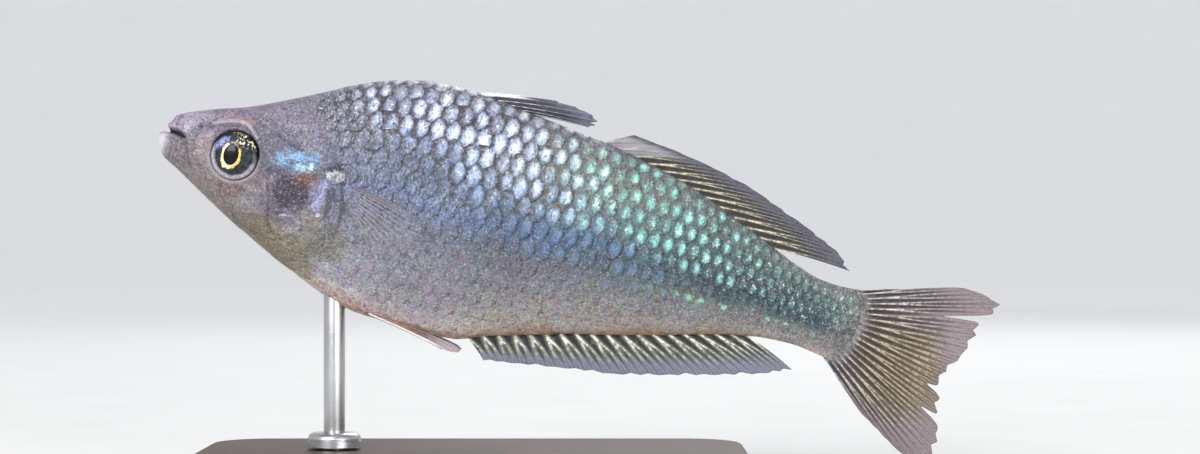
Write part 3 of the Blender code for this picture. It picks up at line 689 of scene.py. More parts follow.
# Patches on the head: centre, radii, tilt, strength and colour
HEAD_PATCHES = (
    ((2.4, 3.0), (3.8, 1.7), 22, 0.65, (0.46, 0.37, 0.50)),
    ((12.2, 1.6), (1.6, 4.0), 0, 0.65, (0.085, 0.08, 0.125)),
    ((7.8, 4.2), (3.0, 0.9), 4, 0.55, (0.36, 0.23, 0.25)),
    ((9.2, -3.3), (2.8, 1.2), -8, 0.60, (0.14, 0.080, 0.075)),
    ((12.4, -4.6), (3.0, 2.6), -30, 0.50, (0.27, 0.26, 0.30)),
    ((5.2, 0.2), (1.5, 2.4), 12, 0.45, (0.33, 0.25, 0.25)),
    ((6.5, -4.6), (3.6, 1.2), -38, 0.40, (0.30, 0.24, 0.22)),
    ((13.4, 1.8), (3.4, 3.6), 0, 0.80, (0.050, 0.052, 0.100)),
    ((15.8, -8.4), (6.6, 2.8), -28, 0.60, (0.21, 0.185, 0.075)),
    ((20.4, -6.4), (4.6, 2.8), -14, 0.50, (0.18, 0.175, 0.115)),
    ((15.2, -3.4), (3.4, 3.2), -20, 0.55, (0.085, 0.070, 0.115)),
    ((15.9, -2.1), (2.7, 2.4), 0, 0.90, (0.030, 0.020, 0.046)),
    ((16.6, -1.2), (1.6, 1.0), 0, 0.60, (0.055, 0.018, 0.024)),
    ((16.6, -4.75), (2.2, 0.30), -14, 0.55, (0.26, 0.26, 0.38)),
    ((16.7, -6.4), (2.1, 0.35), 22, 0.50, (0.36, 0.35, 0.34)),
    ((17.3, -0.05), (1.6, 0.8), 12, 0.85, (0.15, 0.055, 0.028)),
    ((19.15, -1.7), (0.62, 2.5), -2, 0.85, (0.33, 0.34, 0.58)),
    ((18.4, -1.2), (0.40, 1.8), -8, 0.55, (0.20, 0.19, 0.33)),
    ((20.5, -2.2), (0.6, 2.4), 6, 0.70, (0.045, 0.045, 0.070)),
)
# White flecks on the side: centre and radii
WHITE_FLECKS = (
    ((19.5, -3.8), (0.34, 0.30)), ((15.7, -4.75), (0.44, 0.20)), ((25.2, -10.9), (0.5, 0.25)),
)
# The body's length, and half of the range of heights, in which its outline is told to a finish
OUTLINE_LENGTH, OUTLINE_REACH = 84, 16


def ramp(finish, value, stops):
    return finish.node("ShaderNodeValToRGB", {"stops": stops}, {"Fac": value})


def height_share(finish, x, z):
    """The height on the body, from 0 at the belly's edge to 1 at the back's, as a value."""
    edges = []
    for line in (belly_line, back_line):
        stops = []
        for along in np.linspace(0, OUTLINE_LENGTH, 13):
            grey = (float(line(along)) + OUTLINE_REACH) / (2 * OUTLINE_REACH)
            stops.append((along / OUTLINE_LENGTH, (grey, grey, grey)))
        told = ramp(finish, x / OUTLINE_LENGTH, stops)
        edges.append(finish.parts(told)[0] * (2 * OUTLINE_REACH) - OUTLINE_REACH)
    low, high = edges
    return (z - low) / (high - low)


def dissolved(mask, grit, roughness):
    """A mask whose soft edges break up into grains."""
    return mask.stray(grit, roughness * 2).rise(0.22, 0.85)


def markings(finish, where, x, z):
    """The colours that skin and scales share, laid out on the fish's side."""
    cloud = finish.noise(where, 0.28, 4, 0.6)
    fine = finish.noise(where, 1.7, 3, 0.6)
    grit = finish.noise(where, 4.2, 3, 0.65)
    share = height_share(finish, x, z).stray(cloud, 0.16).stray(fine, 0.06)
    drift = x.stray(cloud, 14)
    fore, middle, rear = (
        ramp(finish, share, stops) for stops in (FORE_COLOURS, MIDDLE_COLOURS, REAR_COLOURS)
    )
    deep = drift.rise(54, 66) * x.rise(81, 76) * share.rise(0.28, 0.42) * share.rise(0.92, 0.66)
    flank = finish.coats(
        fore, (drift.rise(32, 42), middle), (drift.rise(46, 59), rear), (deep * 0.85, DEEP_TEAL)
    )
    for pitch, tinge_share in ((0.8, 0.30), (2.7, 0.38)):
        tinge = finish.noise(where, pitch, 3, 0.6, 1)
        flank = finish.mix(tinge_share, flank, tinge, "OVERLAY")
    root = finish.mix(fine.rise(0.35, 0.65), (0.060, 0.070, 0.068), (0.22, 0.185, 0.175))
    flank = finish.mix(x.stray(fine, 4).rise(76.5, 81) * 0.8, flank, root)
    head = ramp(finish, ((z + 9) / 15).stray(cloud, 0.25), HEAD_COLOURS)
    body = x.stray(cloud, 7).rise(12, 23).most((z * 0.9 + x).stray(fine, 4).rise(17, 26))
    colour = finish.mix(body, head, flank)
    loose_x, _, loose_z = finish.parts(finish.wandering(where, 0.9, 1.7))
    for centre, radii, tilt, strength, tone in HEAD_PATCHES:
        spot = patch(loose_x, loose_z, centre, radii, tilt, 0.8)
        colour = finish.mix(dissolved(spot, grit, 0.25) * strength, colour, tone)
    streaks = finish.noise(fish_place(finish, (2.2, 1, 0.5)), 1.5, 3, 0.7).rise(0.34, 0.62)
    cyan, bright_edge, socket, glint_spot = (
        patch(loose_x, loose_z, centre, radii, tilt, soft)
        for centre, radii, tilt, soft in (
            ((15.6, 1.5), (3.4, 1.5), 14, 0.9), ((16.9, 0.95), (1.6, 0.5), 14, 0.9),
            ((20.5, 1.2), (2.1, 1.5), 10, 0.95), ((20.2, 0.75), (1.3, 0.9), 10, 0.95),
        )
    )
    # The pale spot where the gill opening meets the pectoral fin's root is a painted glint, and the dark
    # patch round it is painted shade in that hollow.
    colour = finish.coats(
        colour, (cyan * streaks * 0.95, (0.17, 0.40, 0.66)),
        (bright_edge * fine.rise(0.38, 0.6), (0.48, 0.72, 0.86)), (socket * 0.8, PIGMENT_BLACK_AND_SHADE),
        (dissolved(glint_spot * 0.8, fine, 0.8) * 0.85, (0.52, 0.54, 0.60)),
    )
    for centre, radii in WHITE_FLECKS:
        fleck = patch(x.stray(fine, 0.8), z.stray(grit, 0.8), centre, radii, 10, 0.8)
        colour = finish.mix(fleck * 0.9, colour, PEARL)
    naked = x.stray(cloud, 6).rise(29, 17)
    specks = finish.noise(where, 3.1, 3, 0.7).rise(0.53, 0.66) * (z.rise(-2, 3.5) * 0.5 + 0.35)
    blush = finish.noise(where, 2.3, 3, 0.6).rise(0.54, 0.68) * naked
    glints = finish.noise(where, 5.5, 2, 0.5).rise(0.60, 0.70)
    colour = finish.coats(
        colour, (specks * (naked * 0.8 + 0.2), PIGMENT_BLACK_AND_SHADE), (blush * 0.3, (0.42, 0.24, 0.20)),
        (glints * 0.22, (0.60, 0.58, 0.70)), (cloud.rise(0.66, 0.34) * 0.30, PIGMENT_BLACK_AND_SHADE),
        (fine.rise(0.62, 0.36) * 0.28, PIGMENT_BLACK_AND_SHADE), (grit.rise(0.52, 0.36) * 0.42, PIGMENT_BLACK_AND_SHADE),
        (grit.rise(0.56, 0.70) * 0.26, PEARL),
    )
    return colour, share, cloud, fine, grit


def fish_hide():
    finish = Finish(
        "fish_hide", Subsurface_Weight=0.06, Subsurface_Radius=(0.6 * MM, 0.3 * MM, 0.25 * MM),
        Specular_IOR_Level=0.3, Coat_Weight=0.08, Coat_Roughness=0.2,
    )
    where = fish_place(finish)
    x, _, z = finish.parts(where)
    colour, _, cloud, fine, grit = markings(finish, where, x, z)
    lips = patch(x, z, (0.3, -0.6), (1.1, 2.0), 0, 0.8) * x.rise(1.6, 0.2)
    lip_rim = x.rise(0.75, 0.0) * abs(z + 0.9).rise(1.7, 1.0)
    # The dark line along the mouth's slit is painted shade in the groove between the lips.
    slit = x.rise(2.9, 2.4) * abs(z - (x * -0.12 + 1.05)).rise(0.22, 0.04)
    orbit = patch(x, z, EYE_CENTRE, (EYE_RADIUS + 0.85,) * 2, 0, 0.45) * z.rise(2.0, -1.5)
    # A dark ring round the upper part of the eye's edge: painted shade where the eye meets the skin.
    rim = patch(x, z, EYE_CENTRE, (EYE_RADIUS + 0.2,) * 2, 0, 0.2) * z.rise(-0.6, 2.4)
    # The creases get painted shade and the ridge over the eye a painted highlight, both made patchy by
    # noise.
    crease, crease_shading_patchiness = finish.mapped("crease"), fine * 0.9 + 0.35
    colour = finish.coats(
        colour, (lips * 0.45, (0.44, 0.40, 0.44)), (lip_rim * 0.6, (0.66, 0.64, 0.72)),
        (slit * 0.92, PIGMENT_BLACK_AND_SHADE), (orbit * 0.55, (0.36, 0.32, 0.36)),
        (crease.rise(0.15, 0.9) * crease_shading_patchiness * 0.55, (0.034, 0.028, 0.040)),
        (crease.rise(-0.15, -0.9) * crease_shading_patchiness * 0.42, (0.50, 0.40, 0.43)), (rim * 0.85, PIGMENT_BLACK_AND_SHADE),
    )
    finish.give(Base_Color=colour, Metallic=fine * 0.12, Roughness=cloud * 0.3 + 0.36)
    cells = {"Vector": finish.wandering(where, 1.2, 0.5), "Scale": 0.95}
    scaly = finish.node("ShaderNodeTexVoronoi", {"feature": "DISTANCE_TO_EDGE"}, cells)
    cheek = x.rise(10.5, 13) * z.rise(3.5, 1.5)
    height = grit * 0.55 + fine * 0.6 + scaly.rise(0, 0.12) * cheek * 0.45
    finish.bump(height, 0.09 * MM, 0.85)
    return finish.material


finish_piece(skin, fish_hide(), "skin", "head", "lower_jaw", "trunk", "tail_stem")

# The eyes: each a low clear dome over a dark, brassy iris, with a thin gold ring round a deep black
# pupil that looks a little forwards. The ring is open at the top.
EYE_DOME, EYE_DEPTH, EYE_SINK = 0.95, 2.2, 0.22
EYE_YAW = math.radians(10)
EYE_SEGMENTS, EYE_RING_COUNT = 96, 64
PUPIL_SHIFT = (-0.11, 0.0)
IRIS_DEEP = (0.006, 0.009, 0.016)
IRIS_GREY = (0.030, 0.037, 0.040)
IRIS_SILVER = (0.40, 0.37, 0.41)
IRIS_GOLD = (0.86, 0.46, 0.10)
IRIS_CREAM = (0.86, 0.74, 0.44)
IRIS_VIOLET = (0.26, 0.27, 0.50)
PUPIL_BLACK = (0.002, 0.002, 0.003)


def iris(name, centre):
    finish = Finish(
        name, Specular_IOR_Level=0.1, Coat_Weight=0.3, Coat_Roughness=0.04, Coat_IOR=1.35
    )
    where = finish.place(origin=tuple(centre), turn=(0, PITCH, 0), unit=EYE_RADIUS * MM)
    x, _, z = finish.parts(where)
    px, pz = x - PUPIL_SHIFT[0], z - PUPIL_SHIFT[1]
    out = (x * x + z * z) ** 0.5
    wobble = finish.noise(where, 3.4, 4, 0.7) - 0.5
    pupil = ((px / 0.30) ** 2 + (pz / 0.42) ** 2) ** 0.5 + wobble * 0.12
    grain = finish.noise(where, 7.5, 4, 0.7)
    mottle = finish.noise(where, 4.0, 4, 0.6)
    below = (out + wobble * 0.15).rise(0.76, 0.90) * (z + x * 0.15).rise(0.45, -0.35)
    sparkle = grain.rise(0.52, 0.60) * z.rise(0.34, 0.58) * (x + wobble).rise(-0.25, 0.1)
    sheen = patch(x, z, (-0.60, 0.42), (0.46, 0.22), 50, 0.9) * grain.rise(0.38, 0.58)
    ring = pupil.rise(1.02, 1.10) * (pupil + wobble * 1.1).rise(1.46, 1.30)
    open_top = (z + wobble * 0.5).rise(0.42, 0.26)
    gold = finish.mix((x + wobble).rise(-0.1, 0.25), IRIS_CREAM, IRIS_GOLD)
    # The near-black ring along the upper part of the eye's edge is painted shade under the socket's rim.
    colour = finish.coats(
        IRIS_DEEP, (mottle.rise(0.36, 0.62), IRIS_GREY),
        (below * (grain.rise(0.34, 0.60) * 0.5 + 0.5), IRIS_SILVER),
        (out.rise(0.55, 0.8) * z.rise(0.1, 0.5) * 0.85, IRIS_DEEP), (sparkle, IRIS_CREAM),
        (sheen * 0.9, IRIS_VIOLET), (ring * open_top, gold), (pupil.rise(1.08, 1.0), PUPIL_BLACK),
        (out.rise(0.92, 1.0) * z.rise(-0.3, 0.5), PIGMENT_BLACK_AND_SHADE),
    )
    metal = (ring * open_top * 0.6 + sparkle * 0.4).least(1.0)
    finish.give(Base_Color=colour, Metallic=metal, Roughness=mottle * 0.2 + 0.25)
    finish.bump(mottle * 0.6 + ring * 0.5, 0.05 * MM, 0.5)
    return finish.material


def make_eye(side, name):
    """A sphere drawn out into a deep back and a low dome, then turned and set in its socket."""
    eye = new_shape(
        bpy.ops.mesh.primitive_uv_sphere_add, f"fish_eye_{name}", segments=EYE_SEGMENTS,
        ring_count=EYE_RING_COUNT, radius=1,
    )
    flat_x, flat_z, out = vertex_places(eye).T
    radius = np.hypot(flat_x, flat_z)
    dome = np.where(out > 0, out * EYE_DOME, out * EYE_DEPTH)
    lens = np.sqrt(np.clip(1 - ((flat_x - PUPIL_SHIFT[0]) / 0.33) ** 2 - (flat_z / 0.44) ** 2, 0, 1))
    dome = dome + np.where(out > 0, 0.06 * lens - 0.05 * hill(radius - 0.7, 0.2), 0)
    x, y = flat_x * EYE_RADIUS, dome
    yawed_x = x * math.cos(EYE_YAW) - y * math.sin(EYE_YAW)
    yawed_y = x * math.sin(EYE_YAW) + y * math.cos(EYE_YAW)
    seat = float(plain_half_width(np.array(EYE_CENTRE[0]), np.array(EYE_CENTRE[1]))) - EYE_SINK
    points = (yawed_x + EYE_CENTRE[0], side * (yawed_y + seat), flat_z * EYE_RADIUS + EYE_CENTRE[1])
    reshape(eye, in_world(np.stack(points, -1)))
    centre = Vector(in_world((EYE_CENTRE[0], side * seat, EYE_CENTRE[1])))
    finish_piece(eye, iris(f"iris_{name}", centre), "eye", f"eye_{name}")


make_eye(-1, "left")
make_eye(1, "right")

# The scales: thin, round-edged plates in staggered rows, each rooted under the one before it. On the
# upper side each has a bright oval that turns from lilac to turquoise along the fish, in a dark net.
SCALE_PITCH, ROW_PITCH = 1.72, 2.15
SCALE_SIZES = through(
    ((10, 0.55), (16, 0.74), (24, 0.98), (45, 1.0), (60, 0.86), (72, 0.66), (82, 0.58))
)
SCALE_SLOPE, SCALE_THICKNESS = 0.054, 0.022
SCALE_ACROSS, SCALE_ALONG = 6, 5
SCALE_STOP = 2.0
# The stretch of body that the scales' rows are laid out on, and how finely it is measured
GIRTH_SPAN, GIRTH_STATIONS, GIRTH_TURNS, GIRTH_SAMPLES = (8, 82), 371, 721, 121
# The millimetres of body, along and up its side, that the scales' flat map covers
SCALE_MAP = (84, 36)


def girth_table():
    """Per station, the side and height at even steps of arc from the belly to the back."""
    stations = np.linspace(*GIRTH_SPAN, GIRTH_STATIONS)
    turns = np.linspace(0, math.pi, GIRTH_TURNS)
    along, turn = np.meshgrid(stations, turns, indexing="ij")
    side, height = round_body(along, turn)
    pieces = np.hypot(np.diff(side, axis=1), np.diff(height, axis=1))
    arc = np.concatenate((np.zeros((GIRTH_STATIONS, 1)), np.cumsum(pieces, axis=1)), axis=1)
    middle = arc[:, GIRTH_TURNS // 2]
    up, down = middle, arc[:, -1] - middle
    shares = np.linspace(-1, 1, GIRTH_SAMPLES)
    table = np.zeros((GIRTH_STATIONS, GIRTH_SAMPLES, 2))
    for i in range(GIRTH_STATIONS):
        reach = np.where(shares > 0, up[i], down[i])
        where = middle[i] - shares * reach
        table[i, :, 0] = np.interp(where, arc[i], side[i])
        table[i, :, 1] = np.interp(where, arc[i], height[i])
    return stations, up, down, table


girth_stations, girth_up, girth_down, girth = girth_table()


def arcs_at(along):
    """The arcs from the body's widest level up to the back and down to the belly."""
    return (np.interp(along, girth_stations, reach) for reach in (girth_up, girth_down))


def on_flank(along, arc):
    """Points of the plain body at stations and at arcs up from its widest level, right side."""
    up, down = arcs_at(along)
    share = arc / np.where(arc > 0, up, down)
    over = np.where(np.abs(share) > 1, -1.0, 1.0)
    share = np.where(np.abs(share) > 1, np.sign(share) * 2 - share, share)
    row = (along - girth_stations[0]) / (girth_stations[1] - girth_stations[0])
    row = np.clip(row, 0, GIRTH_STATIONS - 1.001)
    column = np.clip((share + 1) / 2 * (GIRTH_SAMPLES - 1), 0, GIRTH_SAMPLES - 1.001)
    i, j = row.astype(int), column.astype(int)
    a, b = (row - i)[..., None], (column - j)[..., None]
    near = girth[i, j] * (1 - b) + girth[i, j + 1] * b
    far = girth[i + 1, j] * (1 - b) + girth[i + 1, j + 1] * b
    side, height = np.moveaxis(near * (1 - a) + far * a, -1, 0)
    return np.stack((along, side * over * stem_taper(along, height), height), -1)


def scale_roots():
    """The stations and arcs of the scales' middles, row by row, and each one's size."""
    fine = np.linspace(*GIRTH_SPAN, 2000)
    passed = np.diff(fine) / (SCALE_PITCH * SCALE_SIZES(fine[:-1]))
    counts = np.concatenate(([0], np.cumsum(passed)))
    roots = []
    for row in range(-9, 10):
        for number in np.arange(0.25 + 0.5 * (row % 2), counts[-1], 1.0):
            along = float(np.interp(number, counts, fine))
            size = float(SCALE_SIZES(along))
            arc = (row + 0.15) * ROW_PITCH * size
            up, down = arcs_at(along)
            if not -down + 0.15 * size < arc < up + 0.1 * size:
                continue
            height = float(on_flank(np.array(along), np.array(arc))[2])
            if scaled_share(along, height) > 0.4 and along < stem_end(height) - SCALE_STOP:
                roots.append((along, arc, size))
    return np.array(roots)


def scale_net(count_across, count_along):
    """Faces of one scale's closed plate: its outer face, its inner face and the wall between."""
    def number(i, j, under):
        return under * count_across * count_along + i * count_along + j

    faces = []
    for i in range(count_across - 1):
        for j in range(count_along - 1):
            corners = ((i, j), (i + 1, j), (i + 1, j + 1), (i, j + 1))
            faces.append([number(a, b, 0) for a, b in corners])
            faces.append([number(a, b, 1) for a, b in corners[::-1]])
    rim = [(i, 0) for i in range(count_across)]
    rim += [(count_across - 1, j) for j in range(1, count_along)]
    rim += [(i, count_along - 1) for i in range(count_across - 2, -1, -1)]
    rim += [(0, j) for j in range(count_along - 2, 0, -1)]
    for here, there in zip(rim, rim[1:] + rim[:1]):
        faces.append([number(*here, 1), number(*there, 1), number(*there, 0), number(*here, 0)])
    return np.array(faces)


def make_scales(side, name):
    """All of one side's scales as one mesh, with maps of each scale's own face and its draw."""
    roots = scale_roots()
    rng = np.random.default_rng(7 if side < 0 else 8)
    along0, arc0, size = (column[:, None, None] for column in roots.T)
    across, run = np.meshgrid(
        np.sin(np.linspace(-1, 1, SCALE_ACROSS) * math.pi / 2), np.linspace(0, 1, SCALE_ALONG),
        indexing="ij",
    )
    tilt = rng.normal(0, 0.03, along0.shape)
    edge = 0.76 * np.sqrt(1 - 0.94 * across**2) * (1 + rng.normal(0, 0.02, along0.shape))
    front = -0.8 + 0.25 * across**2
    local_x = front + (np.maximum(edge - 0.06, front + 0.1) - front) * run
    local_y = 0.70 * across
    x = along0 + local_x * SCALE_PITCH * size
    d = arc0 + (local_y + tilt * local_x) * ROW_PITCH * size
    surface = on_flank(x, d)
    step = 0.02
    by_x = on_flank(x + step, d) - surface
    by_d = on_flank(x, d + step) - surface
    normal = np.cross(by_d, by_x)
    normal /= np.linalg.norm(normal, axis=-1, keepdims=True)
    normal *= np.sign((normal[..., 1] * np.sign(surface[..., 1] + 1e-9)).mean())
    upper = eased(arc0, -4, 2) * (1 - 0.6 * eased(along0, 38, 58))
    rise = SCALE_SLOPE * (0.42 + 0.58 * upper) + rng.normal(0, 0.007, along0.shape) * upper
    height0 = on_flank(along0, arc0)[..., 2]
    sunk = np.where(height0 > 2.2, 1 - eased(past_nape(along0, height0), 1, 9), 0)
    start = 1 - eased(along0 - gill_edge(height0), 0.3, 4.5)
    sunk = sunk + eased(along0, 68, 77) + start * throat_share(height0)
    lift = rise * local_x * SCALE_PITCH * size - 0.05 - 0.08 * sunk
    lift += rng.normal(0, 0.02, along0.shape) * upper * local_y * ROW_PITCH * size
    lift += 0.03 * (1 - across**2) - 0.05 * run**6
    outer = surface + normal * lift[..., None]
    inner = surface + normal * (lift - SCALE_THICKNESS * (0.6 + 0.4 * upper))[..., None]
    points = np.stack((outer, inner), 1).reshape(len(roots), -1, 3)
    points[..., 1] *= side
    net = scale_net(SCALE_ACROSS, SCALE_ALONG)
    if side > 0:
        net = net[:, ::-1]
    each = points.shape[1]
    faces = (net[None] + (np.arange(len(roots)) * each)[:, None, None]).reshape(-1, 4)
    mesh = bpy.data.meshes.new(name)
    mesh.from_pydata(in_world(points.reshape(-1, 3)).tolist(), [], faces.tolist())
    scales = bpy.data.objects.new(name, mesh)
    bpy.context.scene.collection.objects.link(scales)
    corner = faces.ravel()
    shape = np.stack(np.broadcast_arrays(local_x, local_y), -1)
    face_map = np.stack((shape, shape), 1).reshape(-1, 2)
    mesh.uv_layers.new(name="ScaleFace").data.foreach_set("uv", face_map[corner].ravel())
    cell = np.array((SCALE_PITCH, ROW_PITCH)) / SCALE_MAP * 0.96
    root = (roots[:, :2] / SCALE_MAP + (0, 0.5))[:, None, None, :]
    spread = np.stack(np.broadcast_arrays(run - 0.46, across * 0.45), -1) * np.array((0.86, 1.0))
    shrunk = np.stack(np.broadcast_arrays(run * 0.04 - 0.49, across * 0.45), -1)
    sizes = size[..., None] * cell
    bake = np.stack((root + spread * sizes, root + shrunk * sizes), 1).reshape(-1, 2)
    mesh.uv_layers.new(name="OFBake").data.foreach_set("uv", bake[corner].ravel())
    draws = np.repeat(rng.random(len(roots)), each)
    add_map(scales, "scale_draw", draws)
    smooth_shaded(scales)
    return scales


NET_DARK, NET_TEAL = (0.026, 0.021, 0.024), (0.012, 0.032, 0.036)
OVAL_LILAC, OVAL_WHITE = (0.32, 0.38, 0.55), (0.72, 0.79, 0.91)
OVAL_CREAM = (0.74, 0.75, 0.48)
OVAL_BLUE, OVAL_SLATE = (0.11, 0.18, 0.37), (0.17, 0.24, 0.42)
OVAL_TEAL, OVAL_TURQUOISE = (0.11, 0.27, 0.25), (0.27, 0.64, 0.55)
OVAL_GREEN = (0.22, 0.62, 0.36)
OVAL_SILVER = (0.25, 0.25, 0.30)
RUST = (0.17, 0.095, 0.05)


def scale_guanine():
    finish = Finish(
        "scale_guanine", Specular_IOR_Level=0.28, Coat_Weight=0.10, Coat_Roughness=0.16
    )
    where = fish_place(finish)
    x, _, z = finish.parts(where)
    base, share, cloud, fine, grit = markings(finish, where, x, z)
    u, v, _ = finish.parts(finish.node("ShaderNodeUVMap", {"uv_map": "ScaleFace"}))
    draw = finish.mapped("scale_draw")
    other = draw.maths("FRACT", draw * 17.3)
    ragged = finish.noise(where, 1.8, 4, 0.62)
    # The zones of the fish's side: its fore part, the turquoise part and the lit back
    fore, teal = x.stray(cloud, 12).rise(48, 36), x.stray(cloud, 14).rise(38, 53)
    above = share - 0.70 + ((x - 35) * 0.0095).least(0.33)
    lit = above + (1 - teal) * 0.10
    band = lit.rise(-0.03, 0.11) * share.rise(1.0, 0.90)
    # Each scale's oval and its brighter heart
    across = v.stray(other, 0.22) / 0.50
    along = (u - 0.27).stray(draw, 0.14) / (0.40 - fore * 0.05)
    away = ((across * across + along * along) ** 0.5).stray(ragged, 1.7).stray(grit, 0.7)
    away = away * (1.33 - fore * 0.27 - other * 0.26)
    oval, heart = away.rise(1.30, 0.52), away.rise(0.86, 0.10)
    heart = heart * (grit.rise(0.32, 0.58) * 0.7 + 0.3) * (draw * 0.9 + 0.38 - fore * 0.06)
    inner = finish.coats(
        OVAL_WHITE, (teal, OVAL_TURQUOISE),
        ((draw + share * 0.9).rise(1.20, 1.50) * x.rise(60, 36), OVAL_CREAM),
        (draw.rise(0.45, 0.2) * teal * 0.8, OVAL_GREEN),
    )
    low_row = abs(share - 0.27 + (x - 68) * 0.002).rise(0.035, 0.012)
    low_row = low_row * x.rise(56, 62) * x.rise(78, 74)
    bright = finish.coats(
        OVAL_LILAC, (teal, OVAL_TEAL), (heart.least(1.0), inner),
        (lit.rise(0.19, 0.05) * (teal * -0.65 + 0.85), OVAL_SLATE),
        (lit.rise(0.05, -0.05) * 0.8, OVAL_BLUE), (above.rise(-0.24, -0.38), OVAL_SILVER),
        (low_row, OVAL_GREEN),
    )
    patchy = (cloud * 1.2 + draw * 1.1).rise(0.60, 1.25)
    strength = band * (patchy * 0.68 + 0.32) + above.rise(-0.34, -0.04) * (draw * 0.45 + 0.06)
    started = (x + z * 1.95 - 41).stray(cloud, 10).rise(-7, 4)
    nape = (x + z * 0.35).rise(16.5, 25)
    strength = (strength * (started * 0.92 + 0.08) + 0.05) * (x.rise(74, 54) * 0.85 + 0.15) * nape
    strength = strength.most(low_row * draw.rise(0.25, 0.55) * 0.7)
    # Rust, the dark net between the ovals, dark and pale dashes, and sparks
    rust = finish.noise(where, 0.9, 3, 0.6).rise(0.50, 0.66) * band * x.rise(36, 42) * x.rise(62, 52)
    net = away.stray(grit, 0.9).rise(1.02, 1.42) * fine.rise(0.36, 0.54)
    net_tone = finish.mix(teal, NET_DARK, NET_TEAL)
    net_strength = above.rise(-0.26, 0.0) * (0.62 + cloud * 0.45) * (fore * 0.62 + 0.38) + 0.04
    net_strength = net_strength * x.rise(82, 72) * (nape * 0.6 + 0.4)
    upright = fish_place(finish, (0.28, 1, 0.62))
    dashes = finish.noise(upright, 1.0, 3, 0.6).rise(0.53, 0.63)
    shoulder = started.rise(0.9, 0.2) * z.rise(-3, 2)
    dashes = dashes * (above.rise(-0.35, 0.0) * 0.35 + shoulder * 0.35 + 0.25)
    pale = finish.noise(upright, 1.3, 2, 0.5).rise(0.58, 0.68) * shoulder
    sparks = finish.noise(where, 3.8, 3, 0.6).rise(0.56, 0.66) * (oval * band * 0.6 + 0.12)
    colour = finish.coats(
        base, ((oval * strength).least(1.0), bright), (rust * away.rise(0.9, 1.5) * 0.45, RUST),
        ((net * net_strength).least(0.92), net_tone), (dashes.least(0.85), net_tone),
        (pale * 0.5, OVAL_LILAC), (sparks, PEARL),
    )
    finish.give(Base_Color=colour, Metallic=oval * band * 0.15, Roughness=ragged * 0.25 + 0.30)
    fan = ((v / (u + 1.6)) * 70).wave() * u.rise(-0.2, 0.5)
    finish.bump(fan * 0.18 + grit * 0.4 + fine * 0.4, 0.08 * MM, 0.8)
    return finish.material


guanine = scale_guanine()
for scale_side, scale_name in ((-1, "scales_left"), (1, "scales_right")):
    scale_piece = make_scales(scale_side, scale_name)
    finish_piece(scale_piece, guanine, "skin")

# The fins: clear skin stretched over bony rays, which show as pale ridges on both faces and fork
# towards the margin. Each fin is rooted in the body's skin.
FIN_MEMBRANE, FIN_SINK = 0.16, 0.35
THICKNESS_STEPS = 64
# Each fin's root along the body, and the places of its rays' tips
SPINY_DORSAL = (
    (31.2, 38.6), ((41.5, 15.45), (44.3, 15.3), (46.4, 14.7), (46.6, 14.0), (45.8, 13.55)),
)
SOFT_DORSAL = (
    (47.6, 69.0),
    ((51.0, 14.0), (54.6, 13.7), (58.0, 13.2), (61.4, 12.6), (64.8, 11.8), (68.0, 10.7), (71.2, 9.5),
     (74.2, 8.3), (76.7, 7.1), (78.4, 5.5)),
)
ANAL = (
    (38.6, 68.5),
    ((41.2, -14.85), (45.3, -14.2), (50.7, -13.3), (56.1, -12.5), (61.3, -11.2), (66.5, -9.8),
     (71.6, -8.3), (75.0, -6.9)),
)
TAIL_TIPS = (
    (86.0, 5.15), (90.9, 6.9), (93.6, 6.85), (95.7, 6.25), (95.2, 5.1), (93.9, 3.4), (93.9, 2.2),
    (93.3, 0.5), (92.6, -1.1), (91.7, -2.6), (91.2, -4.1), (91.8, -5.7), (92.0, -7.3), (92.5, -8.9),
    (92.9, -10.5), (92.8, -12.2), (92.2, -13.6), (89.0, -12.6), (83.6, -9.4),
)
TAIL_ARC_SPAN = (40.0, -61.0)
TAIL_SLITS = ((4, 0.32), (10, 0.12), (12, 0.16))
TAIL_WAVE, TAIL_SINK = 0.9, 0.9


def path_at(points):
    """A function from shares 0 to 1 to points of a smooth path through the given ones."""
    steps = np.arange(len(points))
    columns = [through(tuple(zip(steps, column))) for column in zip(*points)]
    return lambda share: [column(share * (len(points) - 1)) for column in columns]


def ray_ridges(place, v, forks, width):
    """1 on a fin's rays and 0 between them, with each ray forked past the given shares of v."""
    local = place - np.rint(place)
    branches = [np.zeros_like(v)]
    for level, start in enumerate(forks):
        spread = 0.25 / 2**level * eased(v, start, start + 0.5)
        branches = [branch + sign * spread for branch in branches for sign in (-1, 1)]
    ridge = np.zeros_like(v)
    for branch in branches:
        ridge = np.maximum(ridge, hill(local - branch, width * (1 - 0.5 * v)))
    return ridge


